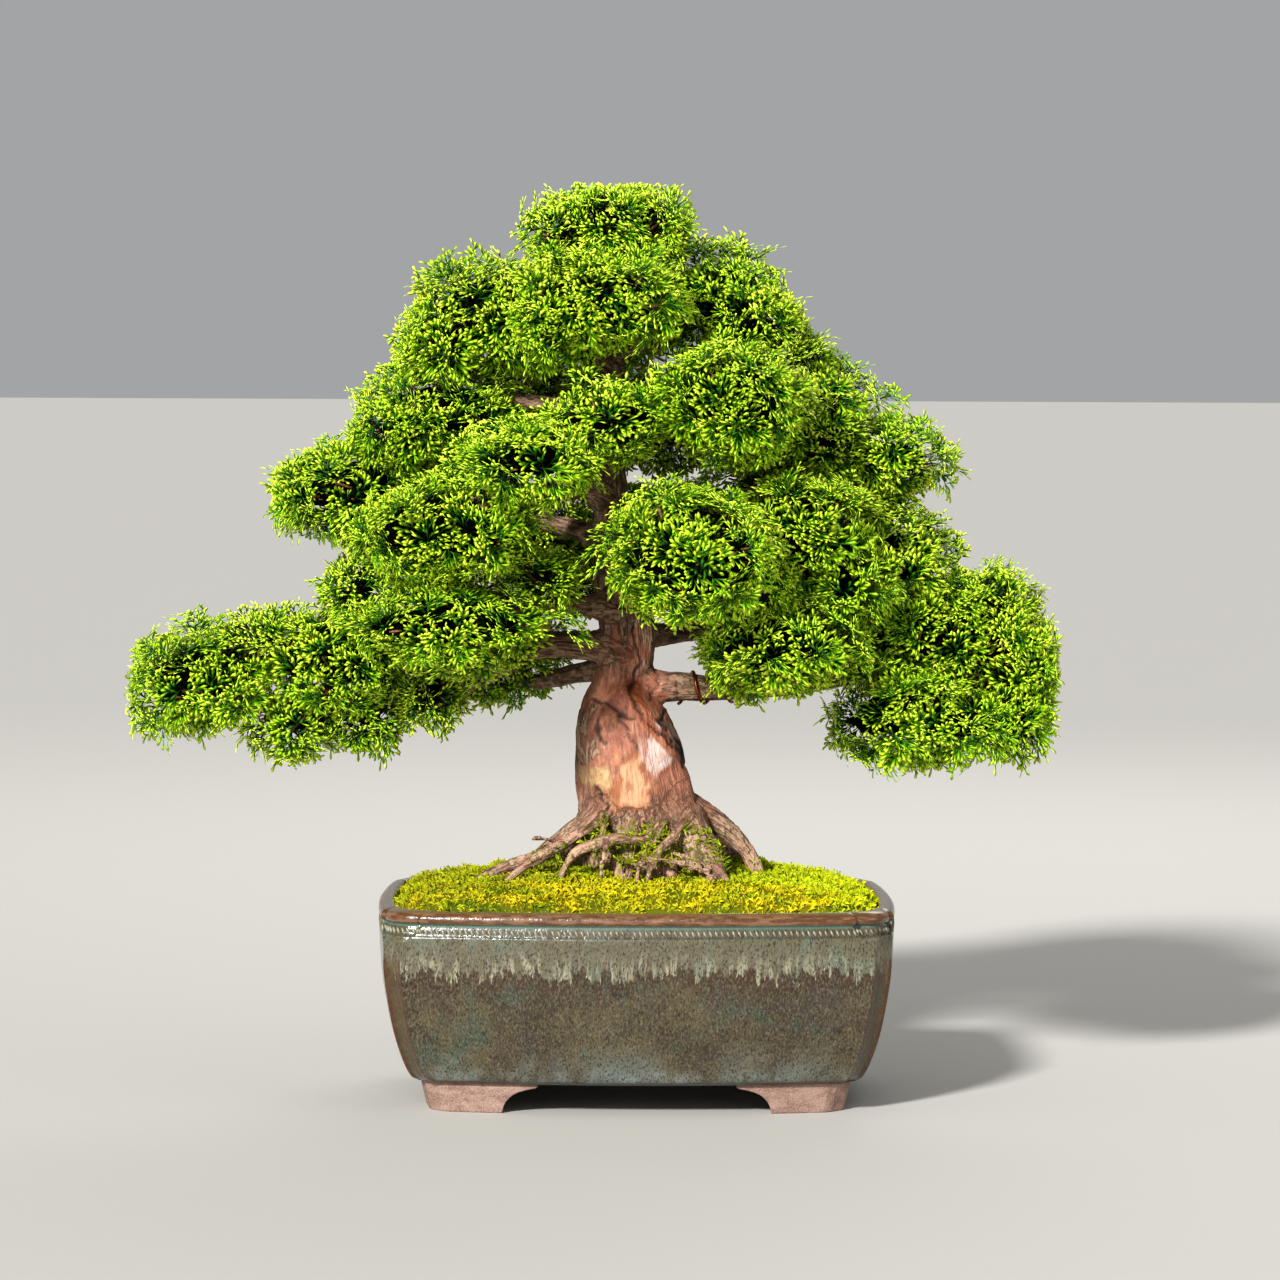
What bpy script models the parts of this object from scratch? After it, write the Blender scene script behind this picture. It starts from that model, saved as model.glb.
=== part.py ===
"""Hinoki cypress bonsai in a glazed stoneware pot.

The origin is on the ground under the middle of the whole tree. X runs to the right along the pot,
Y runs away from the front and Z is up. Sizes below are in millimetres.
"""
import math
import random

import bmesh
import bpy
from mathutils import Vector
from mathutils.bvhtree import BVHTree

MM = 0.001
SEED = 11
GAP = 0.3

# Pot: plan at the rim, wall profile and feet
POT_X = 33.0
POT_HALF_LENGTH = 196.0
POT_HALF_DEPTH = 146.0
BOW_LENGTH = 8.0
BOW_DEPTH = 17.0
CORNER_CUT = 11.0
RIM_CORNER = 26.0
RIB_HEIGHT = 1.6
RIB_HALF_WIDTH = 2.6
DIAGONAL = 0.7
DEPTH_SHARE = 0.75
BASE_Z = 23.0
FLOOR_Z = 33.0
RIM_Z = 153.0
# height, inset from the rim's outline, rib on the corners (True) or a plain round corner (False)
POT_OUTER = [(BASE_Z, 27, True), (28, 21, True), (40, 15.5, True), (64, 8.5, True), (100, 2.5, True),
             (139, 0.6, True), (142, 2.6, False), (143.6, 1.0, False), (147, 0, False), (151, 3, False)]
POT_INNER = [(RIM_Z, 9.6, False), (149, 12, False), (64, 20, False), (FLOOR_Z, 34, False)]
FRONT_POINTS = 4
SIDE_POINTS = 2
CORNER_POINTS = 6

FOOT_INSET = 3.0
FOOT_TAPER = 5.0
FOOT_CHAMFER = 8.0
FOOT_THICK = 17.0
FOOT_SINK = 3.0
# height and how far the cove has opened the two legs of a foot by then
FOOT_COVE = [(0, 0), (6, 2.5), (12, 8), (16.5, 16), (19.6, 29), (BASE_Z + FOOT_SINK, 30)]
FOOT_FRONT_LEG = 53.0
FOOT_SIDE_LEG = 38.0

DRAIN_X = 85.0
DRAIN_RADIUS = 15.0
DRAIN_SIDES = 16
DRILL_PAST = 10.0
SCREEN_SIZE = 44.0
SCREEN_THICK = 1.2
SCREEN_HOLE = 13.0
SCREEN_PITCH = 18.0

# Soil and moss
SOIL_WALL = (64, 20 + GAP)
SOIL_FOOT_Z = FLOOR_Z + SCREEN_THICK + 2 * GAP
SOIL_EDGE_Z = 140.5
MOSS_EDGE_INSET = 13.2
MOSS_THICK = 8.5
MOUND_RISE = 27.0
MOUND_X = 36.0
MOUND_POWER = 1.2
MOSS_BUMP = 1.3
BUMP_ALONG = 0.21
BUMP_ACROSS = 0.17
SOIL_RINGS = (1.0, 0.66, 0.3)
MOSS_RINGS = (1.0, 0.94, 0.78, 0.56, 0.32)

# Trunk: x, y, z of the middle and radius, from the root plug up to the tip of the crown
TRUNK = [(38, 6, 84, 26), (38, 6, 112, 40), (38, 5, 150, 50), (38, 4, 176, 55), (37, 3, 192, 53),
         (35, 2, 208, 49), (32, 0, 226, 45), (29, 0, 246, 42), (26, 0, 264, 41.5), (23, 2, 284, 38.5),
         (21.5, 4, 299, 31), (22.5, 6, 316, 23), (25, 6, 342, 21.5), (23, 5, 364, 20),
         (18, 4, 389, 17), (13, 2, 431, 14), (12.5, 0, 471, 11.5), (13.5, -2, 504, 10),
         (14, -2, 545, 8), (11, -3, 570, 6.5), (9, -4, 592, 5.2), (13, -2, 618, 4.2),
         (18, 0, 640, 3.2)]
TRUNK_SIDES = 12
LUMP = 0.055
# folds round the trunk and how far each set turns in a millimetre of height
FOLDS = ((3, 0.045, 1.0), (5, -0.03, 0.6))

# Surface roots: x, y, z and radius along each, from inside the trunk down into the moss
ROOTS = [
    [(10, -22, 212, 13), (-20, -26, 196, 9.5), (-48, -24, 184, 7), (-72, -22, 174, 5), (-92, -21, 163, 3.5)],
    [(64, -8, 220, 13), (88, -14, 208, 9.5), (108, -18, 192, 8), (120, -20, 177, 7), (126, -21, 162, 6)],
    [(66, -26, 212, 18), (79, -42, 194, 15.5), (87, -54, 177, 13), (90, -61, 161, 10)],
    [(14, -34, 210, 9), (-4, -48, 196, 6.5), (-22, -56, 184, 5.5), (-40, -60, 171, 4.5), (-50, -62, 162, 3.5)],
    [(66, -44, 204, 6), (46, -60, 193, 5), (22, -66, 188, 5), (-2, -68, 183, 4.6), (-18, -68, 170, 4)],
    [(60, -40, 208, 6.5), (52, -62, 192, 4.6), (44, -80, 168, 3.8)],
    [(74, -44, 206, 5.5), (68, -66, 188, 4.2), (60, -82, 166, 3.6)],
    [(34, -40, 204, 12), (30, -58, 190, 9), (27, -80, 167, 6)],
    [(38, 38, 206, 15), (34, 62, 188, 11), (28, 88, 164, 7)],
    [(6, 28, 206, 13), (-22, 46, 188, 9), (-50, 64, 163, 5.5)],
    [(68, 26, 208, 14), (94, 46, 188, 10), (120, 64, 163, 6)],
]

# Branches: x, y, z and radius along each; the last stretch runs on to the foliage that it names
BRANCHES = [
    ("left_low_outer", [(22, 4, 338, 12), (-2, 2, 342, 11), (-45, -3, 341, 9.5), (-87, -12, 319, 8),
                        (-148, -15, 304, 7), (-204, -15, 294, 6), (-250, -20, 299, 5)]),
    ("left_low_inner", [(-76, -10, 325, 5), (-84, -8, 334, 4)]),
    ("left_low_mid", [(-186, -15, 297, 5), (-192, -15, 310, 4)]),
    ("far_right_upper", [(28, 6, 310, 13), (66, 1, 311, 11), (96, -3, 310, 9), (157, -9, 314, 7.5),
                         (212, -7, 325, 6.5)]),
    ("right_low_front", [(118, -4, 311, 7), (122, -50, 328, 6)]),
    ("far_right_low", [(200, -8, 323, 5.5), (228, -22, 311, 4.5)]),
    ("left_low_back", [(22, 8, 328, 11), (-8, 50, 319, 8), (-48, 94, 309, 6)]),
    ("right_low_back", [(24, 8, 348, 11), (70, 56, 350, 8), (118, 98, 355, 6)]),
    ("left_low_front", [(20, 0, 372, 10), (-18, -30, 374, 7.5), (-64, -66, 375, 6)]),
    ("right_outer", [(20, 4, 372, 11), (80, 7, 386, 8.5), (150, 7, 401, 6.5)]),
    ("right_front", [(20, 0, 382, 10), (36, -50, 398, 7.5), (55, -98, 411, 6)]),
    ("right_mid", [(34, -45, 396, 6), (92, -55, 413, 5)]),
    ("mid_back", [(17, 6, 392, 9), (24, 70, 401, 7)]),
    ("right_tip", [(14, 2, 418, 9), (50, 8, 431, 8), (100, 12, 449, 7), (160, 14, 467, 6)]),
    ("right_mid_back", [(54, 9, 433, 6), (102, 70, 451, 5)]),
    ("left_mid_back", [(13, 2, 424, 9), (-40, 50, 435, 7), (-90, 94, 442, 5)]),
    ("left_mid_inner", [(12, 0, 455, 9.5), (-8, -8, 463, 9), (-40, -25, 459, 7.5), (-75, -56, 451, 6)]),
    ("left_mid_outer", [(-54, -37, 456, 6), (-96, -24, 452, 5.5), (-140, -13, 456, 5)]),
    ("left_centre_front", [(13, -2, 480, 7), (-10, -50, 483, 5.5), (-29, -92, 489, 4.5)]),
    ("upper_right", [(13, -1, 500, 8), (60, 4, 509, 6.5), (100, 8, 521, 5.5)]),
    ("upper_right_front", [(56, 3, 508, 5.5), (84, -46, 523, 4.5)]),
    ("centre_front", [(14, -4, 505, 7), (13, -44, 513, 5)]),
    ("upper_back", [(14, 0, 510, 7.5), (12, 62, 516, 5.5)]),
    ("upper_left", [(14, -2, 516, 7.5), (-40, -2, 527, 6), (-78, 0, 529, 5)]),
    ("crown_right", [(12, -3, 562, 6.5), (35, 0, 572, 6), (56, 3, 576, 5.5), (80, 6, 592, 4.5)]),
    ("crown_left", [(12, -2, 556, 6), (-15, -2, 570, 5.2), (-55, 2, 583, 4.6)]),
    ("crown_front", [(10, -4, 582, 5), (7, -38, 596, 4.2)]),
    ("crown_back", [(10, -3, 588, 5), (17, 42, 600, 4.2)]),
]
STOUT_RADIUS = 8.0
STOUT_SIDES = 6
SLIM_SIDES = 5
TIP_RADIUS = 3.2
BRANCH_SEAT = 0.4

# Foliage: centre and half sizes of each cushion
CUSHIONS = {
    "apex": ((22, 0, 661), (68, 62, 48)),
    "crown_front": ((2, -84, 606), (68, 50, 42)),
    "crown_right": ((100, 8, 606), (58, 66, 48)),
    "crown_left": ((-90, 3, 594), (62, 68, 50)),
    "crown_back": ((22, 92, 604), (76, 54, 46)),
    "upper_right": ((140, 14, 530), (82, 68, 50)),
    "upper_right_front": ((104, -98, 532), (62, 56, 46)),
    "upper_left": ((-114, 4, 520), (72, 74, 42)),
    "centre_front": ((8, -90, 516), (54, 50, 32)),
    "left_centre_front": ((-50, -134, 486), (56, 60, 34)),
    "upper_back": ((2, 134, 520), (82, 72, 46)),
    "left_mid_outer": ((-186, -6, 458), (60, 74, 46)),
    "left_mid_inner": ((-112, -104, 436), (70, 74, 44)),
    "left_mid_back": ((-126, 134, 442), (80, 72, 48)),
    "right_tip": ((224, 16, 482), (58, 56, 32)),
    "right_front": ((70, -152, 420), (68, 82, 54)),
    "right_mid": ((158, -64, 428), (62, 76, 50)),
    "right_outer": ((232, 12, 414), (60, 62, 42)),
    "mid_back": ((40, 160, 416), (80, 74, 48)),
    "right_mid_back": ((162, 126, 466), (72, 72, 50)),
    "left_low_front": ((-106, -94, 364), (82, 72, 36)),
    "left_low_inner": ((-97, -4, 357), (58, 44, 34)),
    "left_low_mid": ((-197, -16, 336), (68, 64, 46)),
    "left_low_outer": ((-292, -25, 320), (64, 56, 42)),
    "left_low_back": ((-84, 120, 330), (66, 66, 44)),
    "right_low_front": ((132, -104, 348), (72, 72, 42)),
    "far_right_upper": ((272, 2, 352), (84, 70, 52)),
    "far_right_low": ((254, -52, 286), (80, 58, 42)),
    "right_low_back": ((164, 132, 362), (76, 70, 46)),
}
CORE_SHARE = 0.68
FAN_ROOT = 0.46
FAN_COUNT = 188
FAN_SPREAD = math.radians(56)
FAN_THICK = 0.9
FAN_ROOT_WIDTH = 5.0
FAN_NECK = 0.3
FAN_NOTCH = 0.72
FAN_DROOP = 0.14
FAN_ROUNDING = 0.14
STEEP = 0.2
FAN_FINGERS = 4
FAN_SIZE = 1.06
FAN_LIFT = 0.75
FAN_HANG = 0.1
FAN_ROLL = math.radians(60)
FAN_SHRINK = 0.02
FAN_TRIES = 24
FULL_TRIES = 8
REACH_STEP = 1.0
FAN_CLEARANCE = 1.0
HIGHEST_DIRECTION = 0.9
LOWEST_DIRECTION = -0.5

# Training wires: branch, share of its length where the wire starts and ends, turns
WIRES = [("left_mid_inner", 0.2, 0.46, 3), ("left_low_outer", 0.42, 0.78, 4),
         ("far_right_upper", 0.2, 0.42, 2), ("right_tip", 0.62, 0.9, 3)]
WIRE_RADIUS = 1.25
WIRE_SIDES = 4
WIRE_STEPS = 8
WIRE_CLEARANCE = 1.35


def clear_scene():
    for old in list(bpy.data.objects):
        bpy.data.objects.remove(old)


def material(name, colour, roughness, metallic=0.0):
    made = bpy.data.materials.new(name)
    made.use_nodes = True
    shader = made.node_tree.nodes["Principled BSDF"]
    shader.inputs["Base Color"].default_value = (*colour, 1.0)
    shader.inputs["Roughness"].default_value = roughness
    shader.inputs["Metallic"].default_value = metallic
    return made


def make_object(name, points, faces, finish=None):
    """A closed mesh object from points in millimetres, with its faces turned outward."""
    mesh = bpy.data.meshes.new(name)
    mesh.from_pydata([Vector(p) * MM for p in points], [], faces)
    shape = bmesh.new()
    shape.from_mesh(mesh)
    bmesh.ops.recalc_face_normals(shape, faces=shape.faces)
    shape.to_mesh(mesh)
    shape.free()
    made = bpy.data.objects.new(name, mesh)
    bpy.context.scene.collection.objects.link(made)
    if finish:
        mesh.materials.append(finish)
    return made


def loft(name, rings, finish=None, split=True):
    """Skin a row of rings with equal point counts and close both ends with a flat cap.

    Split bands are cut into triangles the same way, so that a hole made by a grown copy fits all over.
    """
    count = len(rings[0])
    points = [p for ring in rings for p in ring]
    faces = [tuple(range(count)), tuple(range((len(rings) - 1) * count, len(rings) * count))]
    for row in range(len(rings) - 1):
        for i in range(count):
            j = (i + 1) % count
            low = row * count
            if split:
                faces.append((low + i, low + j, low + count + j))
                faces.append((low + i, low + count + j, low + count + i))
            else:
                faces.append((low + i, low + j, low + count + j, low + count + i))
    return make_object(name, points, faces, finish)


def apply_boolean(target, operation, tools):
    """Join or cut the target with a list of objects, keep the result and remove the tools."""
    group = bpy.data.collections.new("tools")
    bpy.context.scene.collection.children.link(group)
    for tool in tools:
        bpy.context.scene.collection.objects.unlink(tool)
        group.objects.link(tool)
    change = target.modifiers.new(operation, "BOOLEAN")
    change.operation = operation
    change.operand_type = "COLLECTION"
    change.collection = group
    change.solver = "EXACT"
    bpy.context.view_layer.update()
    graph = bpy.context.evaluated_depsgraph_get()
    result = bpy.data.meshes.new_from_object(target.evaluated_get(graph))
    target.modifiers.remove(change)
    target.data = result
    for tool in tools:
        bpy.data.objects.remove(tool)
    bpy.data.collections.remove(group)


def keep_largest(target):
    """Drop scraps that a cut left loose, and keep the main body."""
    shape = bmesh.new()
    shape.from_mesh(target.data)
    left = set(shape.verts)
    bodies = []
    while left:
        stack = [left.pop()]
        body = list(stack)
        while stack:
            near = {e.other_vert(v) for v in [stack.pop()] for e in v.link_edges} & left
            left -= near
            stack.extend(near)
            body.extend(near)
        bodies.append(body)
    bodies.sort(key=len)
    bmesh.ops.delete(shape, geom=[v for body in bodies[:-1] for v in body], context="VERTS")
    shape.to_mesh(target.data)
    shape.free()


def pot_outline(z, inset, ribbed):
    """Plan of the pot at one height, as points in order round it."""
    length = POT_HALF_LENGTH - inset
    depth = POT_HALF_DEPTH - inset * DEPTH_SHARE
    corner_x = length - BOW_LENGTH
    corner_y = depth - BOW_DEPTH
    cut = CORNER_CUT * length / POT_HALF_LENGTH if ribbed else RIM_CORNER
    quarter = []
    if ribbed:
        for x, y, along in ((corner_x - cut, corner_y, (1, 0)), (corner_x, corner_y - cut, (0, -1))):
            quarter.append((x - RIB_HALF_WIDTH * along[0], y - RIB_HALF_WIDTH * along[1]))
            quarter.append((x + RIB_HEIGHT * DIAGONAL, y + RIB_HEIGHT * DIAGONAL))
            quarter.append((x + RIB_HALF_WIDTH * DIAGONAL, y - RIB_HALF_WIDTH * DIAGONAL))
        quarter[3] = (corner_x - RIB_HALF_WIDTH * DIAGONAL, corner_y - cut + RIB_HALF_WIDTH * DIAGONAL)
        quarter[5] = (corner_x, corner_y - cut - RIB_HALF_WIDTH)
    else:
        for step in range(CORNER_POINTS):
            turn = math.pi / 2 * step / (CORNER_POINTS - 1)
            quarter.append((corner_x - cut + cut * math.sin(turn), corner_y - cut + cut * math.cos(turn)))
    back = [(x, depth - BOW_DEPTH * (x / corner_x) ** 2)
            for x in spaced(-quarter[0][0], quarter[0][0], FRONT_POINTS)]
    side = [(length - BOW_LENGTH * (y / corner_y) ** 2, y)
            for y in spaced(quarter[-1][1], -quarter[-1][1], SIDE_POINTS)]
    half = back + quarter + side + [(x, -y) for x, y in reversed(quarter)]
    ring = half + [(-x, -y) for x, y in half]
    return [(POT_X + x, y, z) for x, y in ring]


def spaced(start, end, count):
    """Even steps strictly between two values."""
    return [start + (end - start) * (i + 1) / (count + 1) for i in range(count)]


def foot(side_x, side_y):
    """One bracket foot: an L of two legs with a cove cut under each leg's free end."""
    inset_rim = POT_OUTER[0][1]
    length = POT_HALF_LENGTH - inset_rim
    depth = POT_HALF_DEPTH - inset_rim * DEPTH_SHARE
    rings = []
    for z, opened in FOOT_COVE:
        inset = FOOT_INSET + FOOT_TAPER * (1 - min(z, BASE_Z) / BASE_Z)
        corner_x = length - BOW_LENGTH - inset
        corner_y = depth - BOW_DEPTH - inset
        tip_x = corner_x - FOOT_FRONT_LEG - opened
        tip_y = corner_y - FOOT_SIDE_LEG - opened
        edge_y = depth - inset - BOW_DEPTH * (tip_x / corner_x) ** 2
        edge_x = length - inset - BOW_LENGTH * (tip_y / corner_y) ** 2
        plan = [(corner_x - FOOT_CHAMFER, corner_y), (tip_x, edge_y), (tip_x, edge_y - FOOT_THICK),
                (corner_x - FOOT_THICK, corner_y - FOOT_THICK), (edge_x - FOOT_THICK, tip_y),
                (edge_x, tip_y), (corner_x, corner_y - FOOT_CHAMFER)]
        rings.append([(POT_X + side_x * x, side_y * y, z) for x, y in plan])
    return loft("foot", rings)


def build_pot(finish):
    pot = loft("pot", [pot_outline(*row) for row in POT_OUTER + POT_INNER], finish)
    apply_boolean(pot, "UNION", [foot(x, y) for x in (-1, 1) for y in (-1, 1)])
    drains = []
    for side in (-1, 1):
        drains.append(tube("drain", [(POT_X + side * DRAIN_X, 0, BASE_Z - DRILL_PAST, DRAIN_RADIUS),
                                     (POT_X + side * DRAIN_X, 0, FLOOR_Z + DRILL_PAST, DRAIN_RADIUS)],
                           DRAIN_SIDES))
    apply_boolean(pot, "DIFFERENCE", drains)


def build_screen(name, side, finish):
    """A square of stiff mesh that keeps the soil from the drainage hole."""
    x = POT_X + side * DRAIN_X
    low = FLOOR_Z + GAP
    plate = box(name, (x, 0, low + SCREEN_THICK / 2), (SCREEN_SIZE, SCREEN_SIZE, SCREEN_THICK), finish)
    holes = [box("hole", (x + i * SCREEN_PITCH, j * SCREEN_PITCH, low), (SCREEN_HOLE, SCREEN_HOLE, DRILL_PAST))
             for i in (-0.5, 0.5) for j in (-0.5, 0.5)]
    apply_boolean(plate, "DIFFERENCE", holes)


def box(name, centre, size, finish=None):
    signs = ((-1, -1), (1, -1), (1, 1), (-1, 1))
    rings = [[(centre[0] + i * size[0] / 2, centre[1] + j * size[1] / 2, centre[2] + k * size[2] / 2)
              for i, j in signs] for k in (-1, 1)]
    return loft(name, rings, finish)


def mound_rings(shares, lift, bumps):
    """Rings from the pot's wall, at share 1, in towards the trunk over a domed surface."""
    edge = pot_outline(0, MOSS_EDGE_INSET, False)
    rings = []
    for share in shares:
        ring = []
        for x, y, _ in edge:
            x = MOUND_X + (x - MOUND_X) * share
            y = y * share
            relief = bumps * math.sin(x * BUMP_ALONG) * math.cos(y * BUMP_ACROSS)
            height = SOIL_EDGE_Z + MOUND_RISE * (1 - share ** 2) ** MOUND_POWER
            ring.append((x, y, height + lift + relief))
        rings.append(ring)
    return rings


def build_soil(finish):
    rings = list(reversed(mound_rings(SOIL_RINGS, 0, 0)))
    rings.append(pot_outline(*SOIL_WALL, False))
    rings.append(pot_outline(SOIL_FOOT_Z, POT_INNER[-1][1] + GAP, False))
    return loft("soil", rings, finish)


def build_moss(finish):
    under = list(reversed(mound_rings(SOIL_RINGS, GAP, 0)))
    over = mound_rings(MOSS_RINGS, MOSS_THICK, MOSS_BUMP)
    return loft("moss", under + over, finish)


def tube_rings(path, sides, grow=0.0, lump=0.0):
    """Round rings square to a path of x, y, z and radius, at even steps of turn."""
    spots = [Vector(p[:3]) for p in path]
    rings = []
    across = None
    for i, spot in enumerate(spots):
        ahead = (spots[min(i + 1, len(spots) - 1)] - spots[max(i - 1, 0)]).normalized()
        if across is None:
            across = ahead.orthogonal().normalized()
        across = (across - ahead * across.dot(ahead)).normalized()
        other = ahead.cross(across)
        centre = spot
        if grow and i in (0, len(spots) - 1):
            centre = spot + ahead * (grow if i else -grow)
        ring = []
        for k in range(sides):
            turn = 2 * math.pi * k / sides
            wave = sum(size * math.sin(count * turn + spot.z * twist) for count, twist, size in FOLDS)
            radius = path[i][3] * (1 + lump * wave) + grow
            ring.append(centre + (across * math.cos(turn) + other * math.sin(turn)) * radius)
        rings.append(ring)
    return rings


def tube(name, path, sides, grow=0.0, lump=0.0, split=True):
    return loft(name, tube_rings(path, sides, grow, lump), split=split)


def branch_path(cushion, path):
    """The branch's own points, and its end, seated a little way into the cushion's core."""
    centre, half = (Vector(v) for v in CUSHIONS[cushion])
    back = Vector(path[-1][:3]) - centre
    share = math.sqrt(sum((back[i] / half[i]) ** 2 for i in range(3)))
    end = centre + back * (BRANCH_SEAT / share)
    return path + [(*end, TIP_RADIUS)]


def limb(path, grow=0.0, split=True):
    """A root or a branch, with more sides where it is stout."""
    sides = STOUT_SIDES if path[0][3] >= STOUT_RADIUS else SLIM_SIDES
    return tube("limb", path, sides, grow, split=split)


def tree_limbs():
    """Every part of the tree that grew from the trunk, as separate tubes."""
    return [limb(path) for path in ROOTS] + [limb(branch_path(*row), split=False) for row in BRANCHES]


def build_tree(finish):
    tree = tube("tree", TRUNK, TRUNK_SIDES, 0.0, LUMP)
    tree.data.materials.append(finish)
    apply_boolean(tree, "UNION", tree_limbs())
    return tree


def cut_for_tree(target):
    """Open the hole in the soil or moss that the trunk and roots stand in."""
    cutter = tube("cutter", TRUNK, TRUNK_SIDES, GAP, LUMP)
    apply_boolean(cutter, "UNION", [limb(path, GAP) for path in ROOTS])
    apply_boolean(target, "DIFFERENCE", [cutter])
    keep_largest(target)


def along(path, share):
    """Point, direction and radius at a share of a path's length."""
    spots = [Vector(p[:3]) for p in path]
    lengths = [(b - a).length for a, b in zip(spots, spots[1:])]
    left = share * sum(lengths)
    for i, length in enumerate(lengths):
        if left <= length or i == len(lengths) - 1:
            part = left / length
            spot = spots[i].lerp(spots[i + 1], part)
            return spot, (spots[i + 1] - spots[i]).normalized(), path[i][3] + (path[i + 1][3] - path[i][3]) * part
        left -= length


def build_wire(name, row, finish):
    """A training wire wound in open turns round its branch."""
    cushion, start, end, turns = row
    path = dict(BRANCHES)[cushion]
    steps = turns * WIRE_STEPS
    points = []
    across = None
    for i in range(steps + 1):
        spot, ahead, radius = along(path, start + (end - start) * i / steps)
        if across is None:
            across = ahead.orthogonal().normalized()
        across = (across - ahead * across.dot(ahead)).normalized()
        turn = 2 * math.pi * i / WIRE_STEPS
        out = across * math.cos(turn) + ahead.cross(across) * math.sin(turn)
        points.append((*(spot + out * (radius + WIRE_RADIUS + WIRE_CLEARANCE)), WIRE_RADIUS))
    wire = tube(name, points, WIRE_SIDES)
    wire.data.materials.append(finish)
    return wire


def surface_of(target):
    """Search tree over an object's faces, in millimetres."""
    points = [v.co / MM for v in target.data.vertices]
    return BVHTree.FromPolygons(points, [tuple(p.vertices) for p in target.data.polygons])


def core(name, centre, half, finish):
    """The small dense heart of a cushion, which the fans stand out of."""
    shape = bmesh.new()
    bmesh.ops.create_icosphere(shape, subdivisions=1, radius=1.0)
    points = [tuple(centre[i] + v.co[i] * half[i] * CORE_SHARE for i in range(3)) for v in shape.verts]
    faces = [tuple(v.index for v in f.verts) for f in shape.faces]
    shape.free()
    return make_object(name, points, faces, finish)


def fan_mesh(root, tip, roll, thick):
    """A flat spray cut into fingers down to near its root, arched along its length."""
    reach = tip - root
    length = reach.length
    ahead = reach.normalized()
    across = Vector((0, 0, 1)).cross(ahead)
    if across.length < STEEP:
        across = Vector((1, 0, 0)).cross(ahead)
    across.normalize()
    flat = ahead.cross(across)
    across, flat = (across * math.cos(roll) + flat * math.sin(roll),
                    flat * math.cos(roll) - across * math.sin(roll))
    neck = FAN_NECK * length
    plan = [(0, -FAN_ROOT_WIDTH / 2), (neck, -FAN_ROOT_WIDTH)]
    for k in range(FAN_FINGERS):
        side = 2 * k / (FAN_FINGERS - 1) - 1
        size = length * (1 - FAN_ROUNDING * abs(side))
        plan.append((size * math.cos(FAN_SPREAD * side), size * math.sin(FAN_SPREAD * side)))
        if k < FAN_FINGERS - 1:
            notch = FAN_SPREAD * (side + 1 / (FAN_FINGERS - 1))
            plan.append((FAN_NOTCH * length * math.cos(notch), FAN_NOTCH * length * math.sin(notch)))
    plan += [(neck, FAN_ROOT_WIDTH), (0, FAN_ROOT_WIDTH / 2)]
    count = len(plan)
    palm = [0] + list(range(1, count, 2)) + [count - 1]
    fingers = [(i, i + 1, i + 2) for i in range(1, count - 2, 2)]
    points = []
    for side in (0.5, -0.5):
        for i, (u, v) in enumerate(plan):
            bend = side * thick
            if i % 2 == 0 and 0 < i < count - 1:
                bend -= FAN_DROOP * length
            points.append(root + ahead * u + across * v + flat * bend)
    leaf = [tuple(palm)] + fingers
    faces = leaf + [tuple(count + i for i in reversed(f)) for f in leaf]
    faces += [(i, count + i, count + (i + 1) % count, (i + 1) % count) for i in range(count)]
    return points, faces


def directions(count, heading):
    """Even directions over a cushion, one of them level and straight along its heading."""
    found = []
    golden = math.pi * (3 - math.sqrt(5))
    for i in range(count):
        up = HIGHEST_DIRECTION - (HIGHEST_DIRECTION - LOWEST_DIRECTION) * i / (count - 1)
        found.append((golden * i, up))
    level = min(found, key=lambda way: abs(way[1]))
    return [(turn - level[0] + heading, up) for turn, up in found]


def fan_reach(centre, half, turn, up, size):
    """Root and tip of a fan that lies over the cushion like a shingle, out to its surface."""
    level = math.sqrt(1 - up * up)
    out = Vector((math.cos(turn), math.sin(turn), 0))
    way = Vector((level * out.x, level * out.y, up))
    root = Vector(centre[i] + way[i] * half[i] * FAN_ROOT for i in range(3))
    ahead = (out + Vector((0, 0, 1)) * (FAN_LIFT * up - FAN_HANG)).normalized()
    length = 0.0
    share = 0.0
    while share < size:
        length += REACH_STEP
        tip = root + ahead * length
        share = math.sqrt(sum(((tip[i] - centre[i]) / half[i]) ** 2 for i in range(3)))
    return root, tip


def place_fans(cushion, count, others, chance):
    """Fans for one cushion that stay clear of the tree, the wires and every other fan."""
    centre, half = (Vector(v) for v in CUSHIONS[cushion])
    heading = math.atan2(centre.y, centre.x - TRUNK[-1][0])
    fans = []
    for turn, up in directions(count, heading):
        for attempt in range(FAN_TRIES):
            roll = chance.uniform(-FAN_ROLL, FAN_ROLL)
            size = FAN_SIZE - FAN_SHRINK * max(0, attempt - FULL_TRIES)
            root, tip = fan_reach(centre, half, turn, up, size)
            trial = BVHTree.FromPolygons(*fan_mesh(root, tip, roll, FAN_THICK + 2 * FAN_CLEARANCE))
            if not any(trial.overlap(tree) for tree in others):
                points, faces = fan_mesh(root, tip, roll, FAN_THICK)
                others.append(BVHTree.FromPolygons(points, faces))
                fans.append((points, faces))
                break
    return fans


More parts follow.
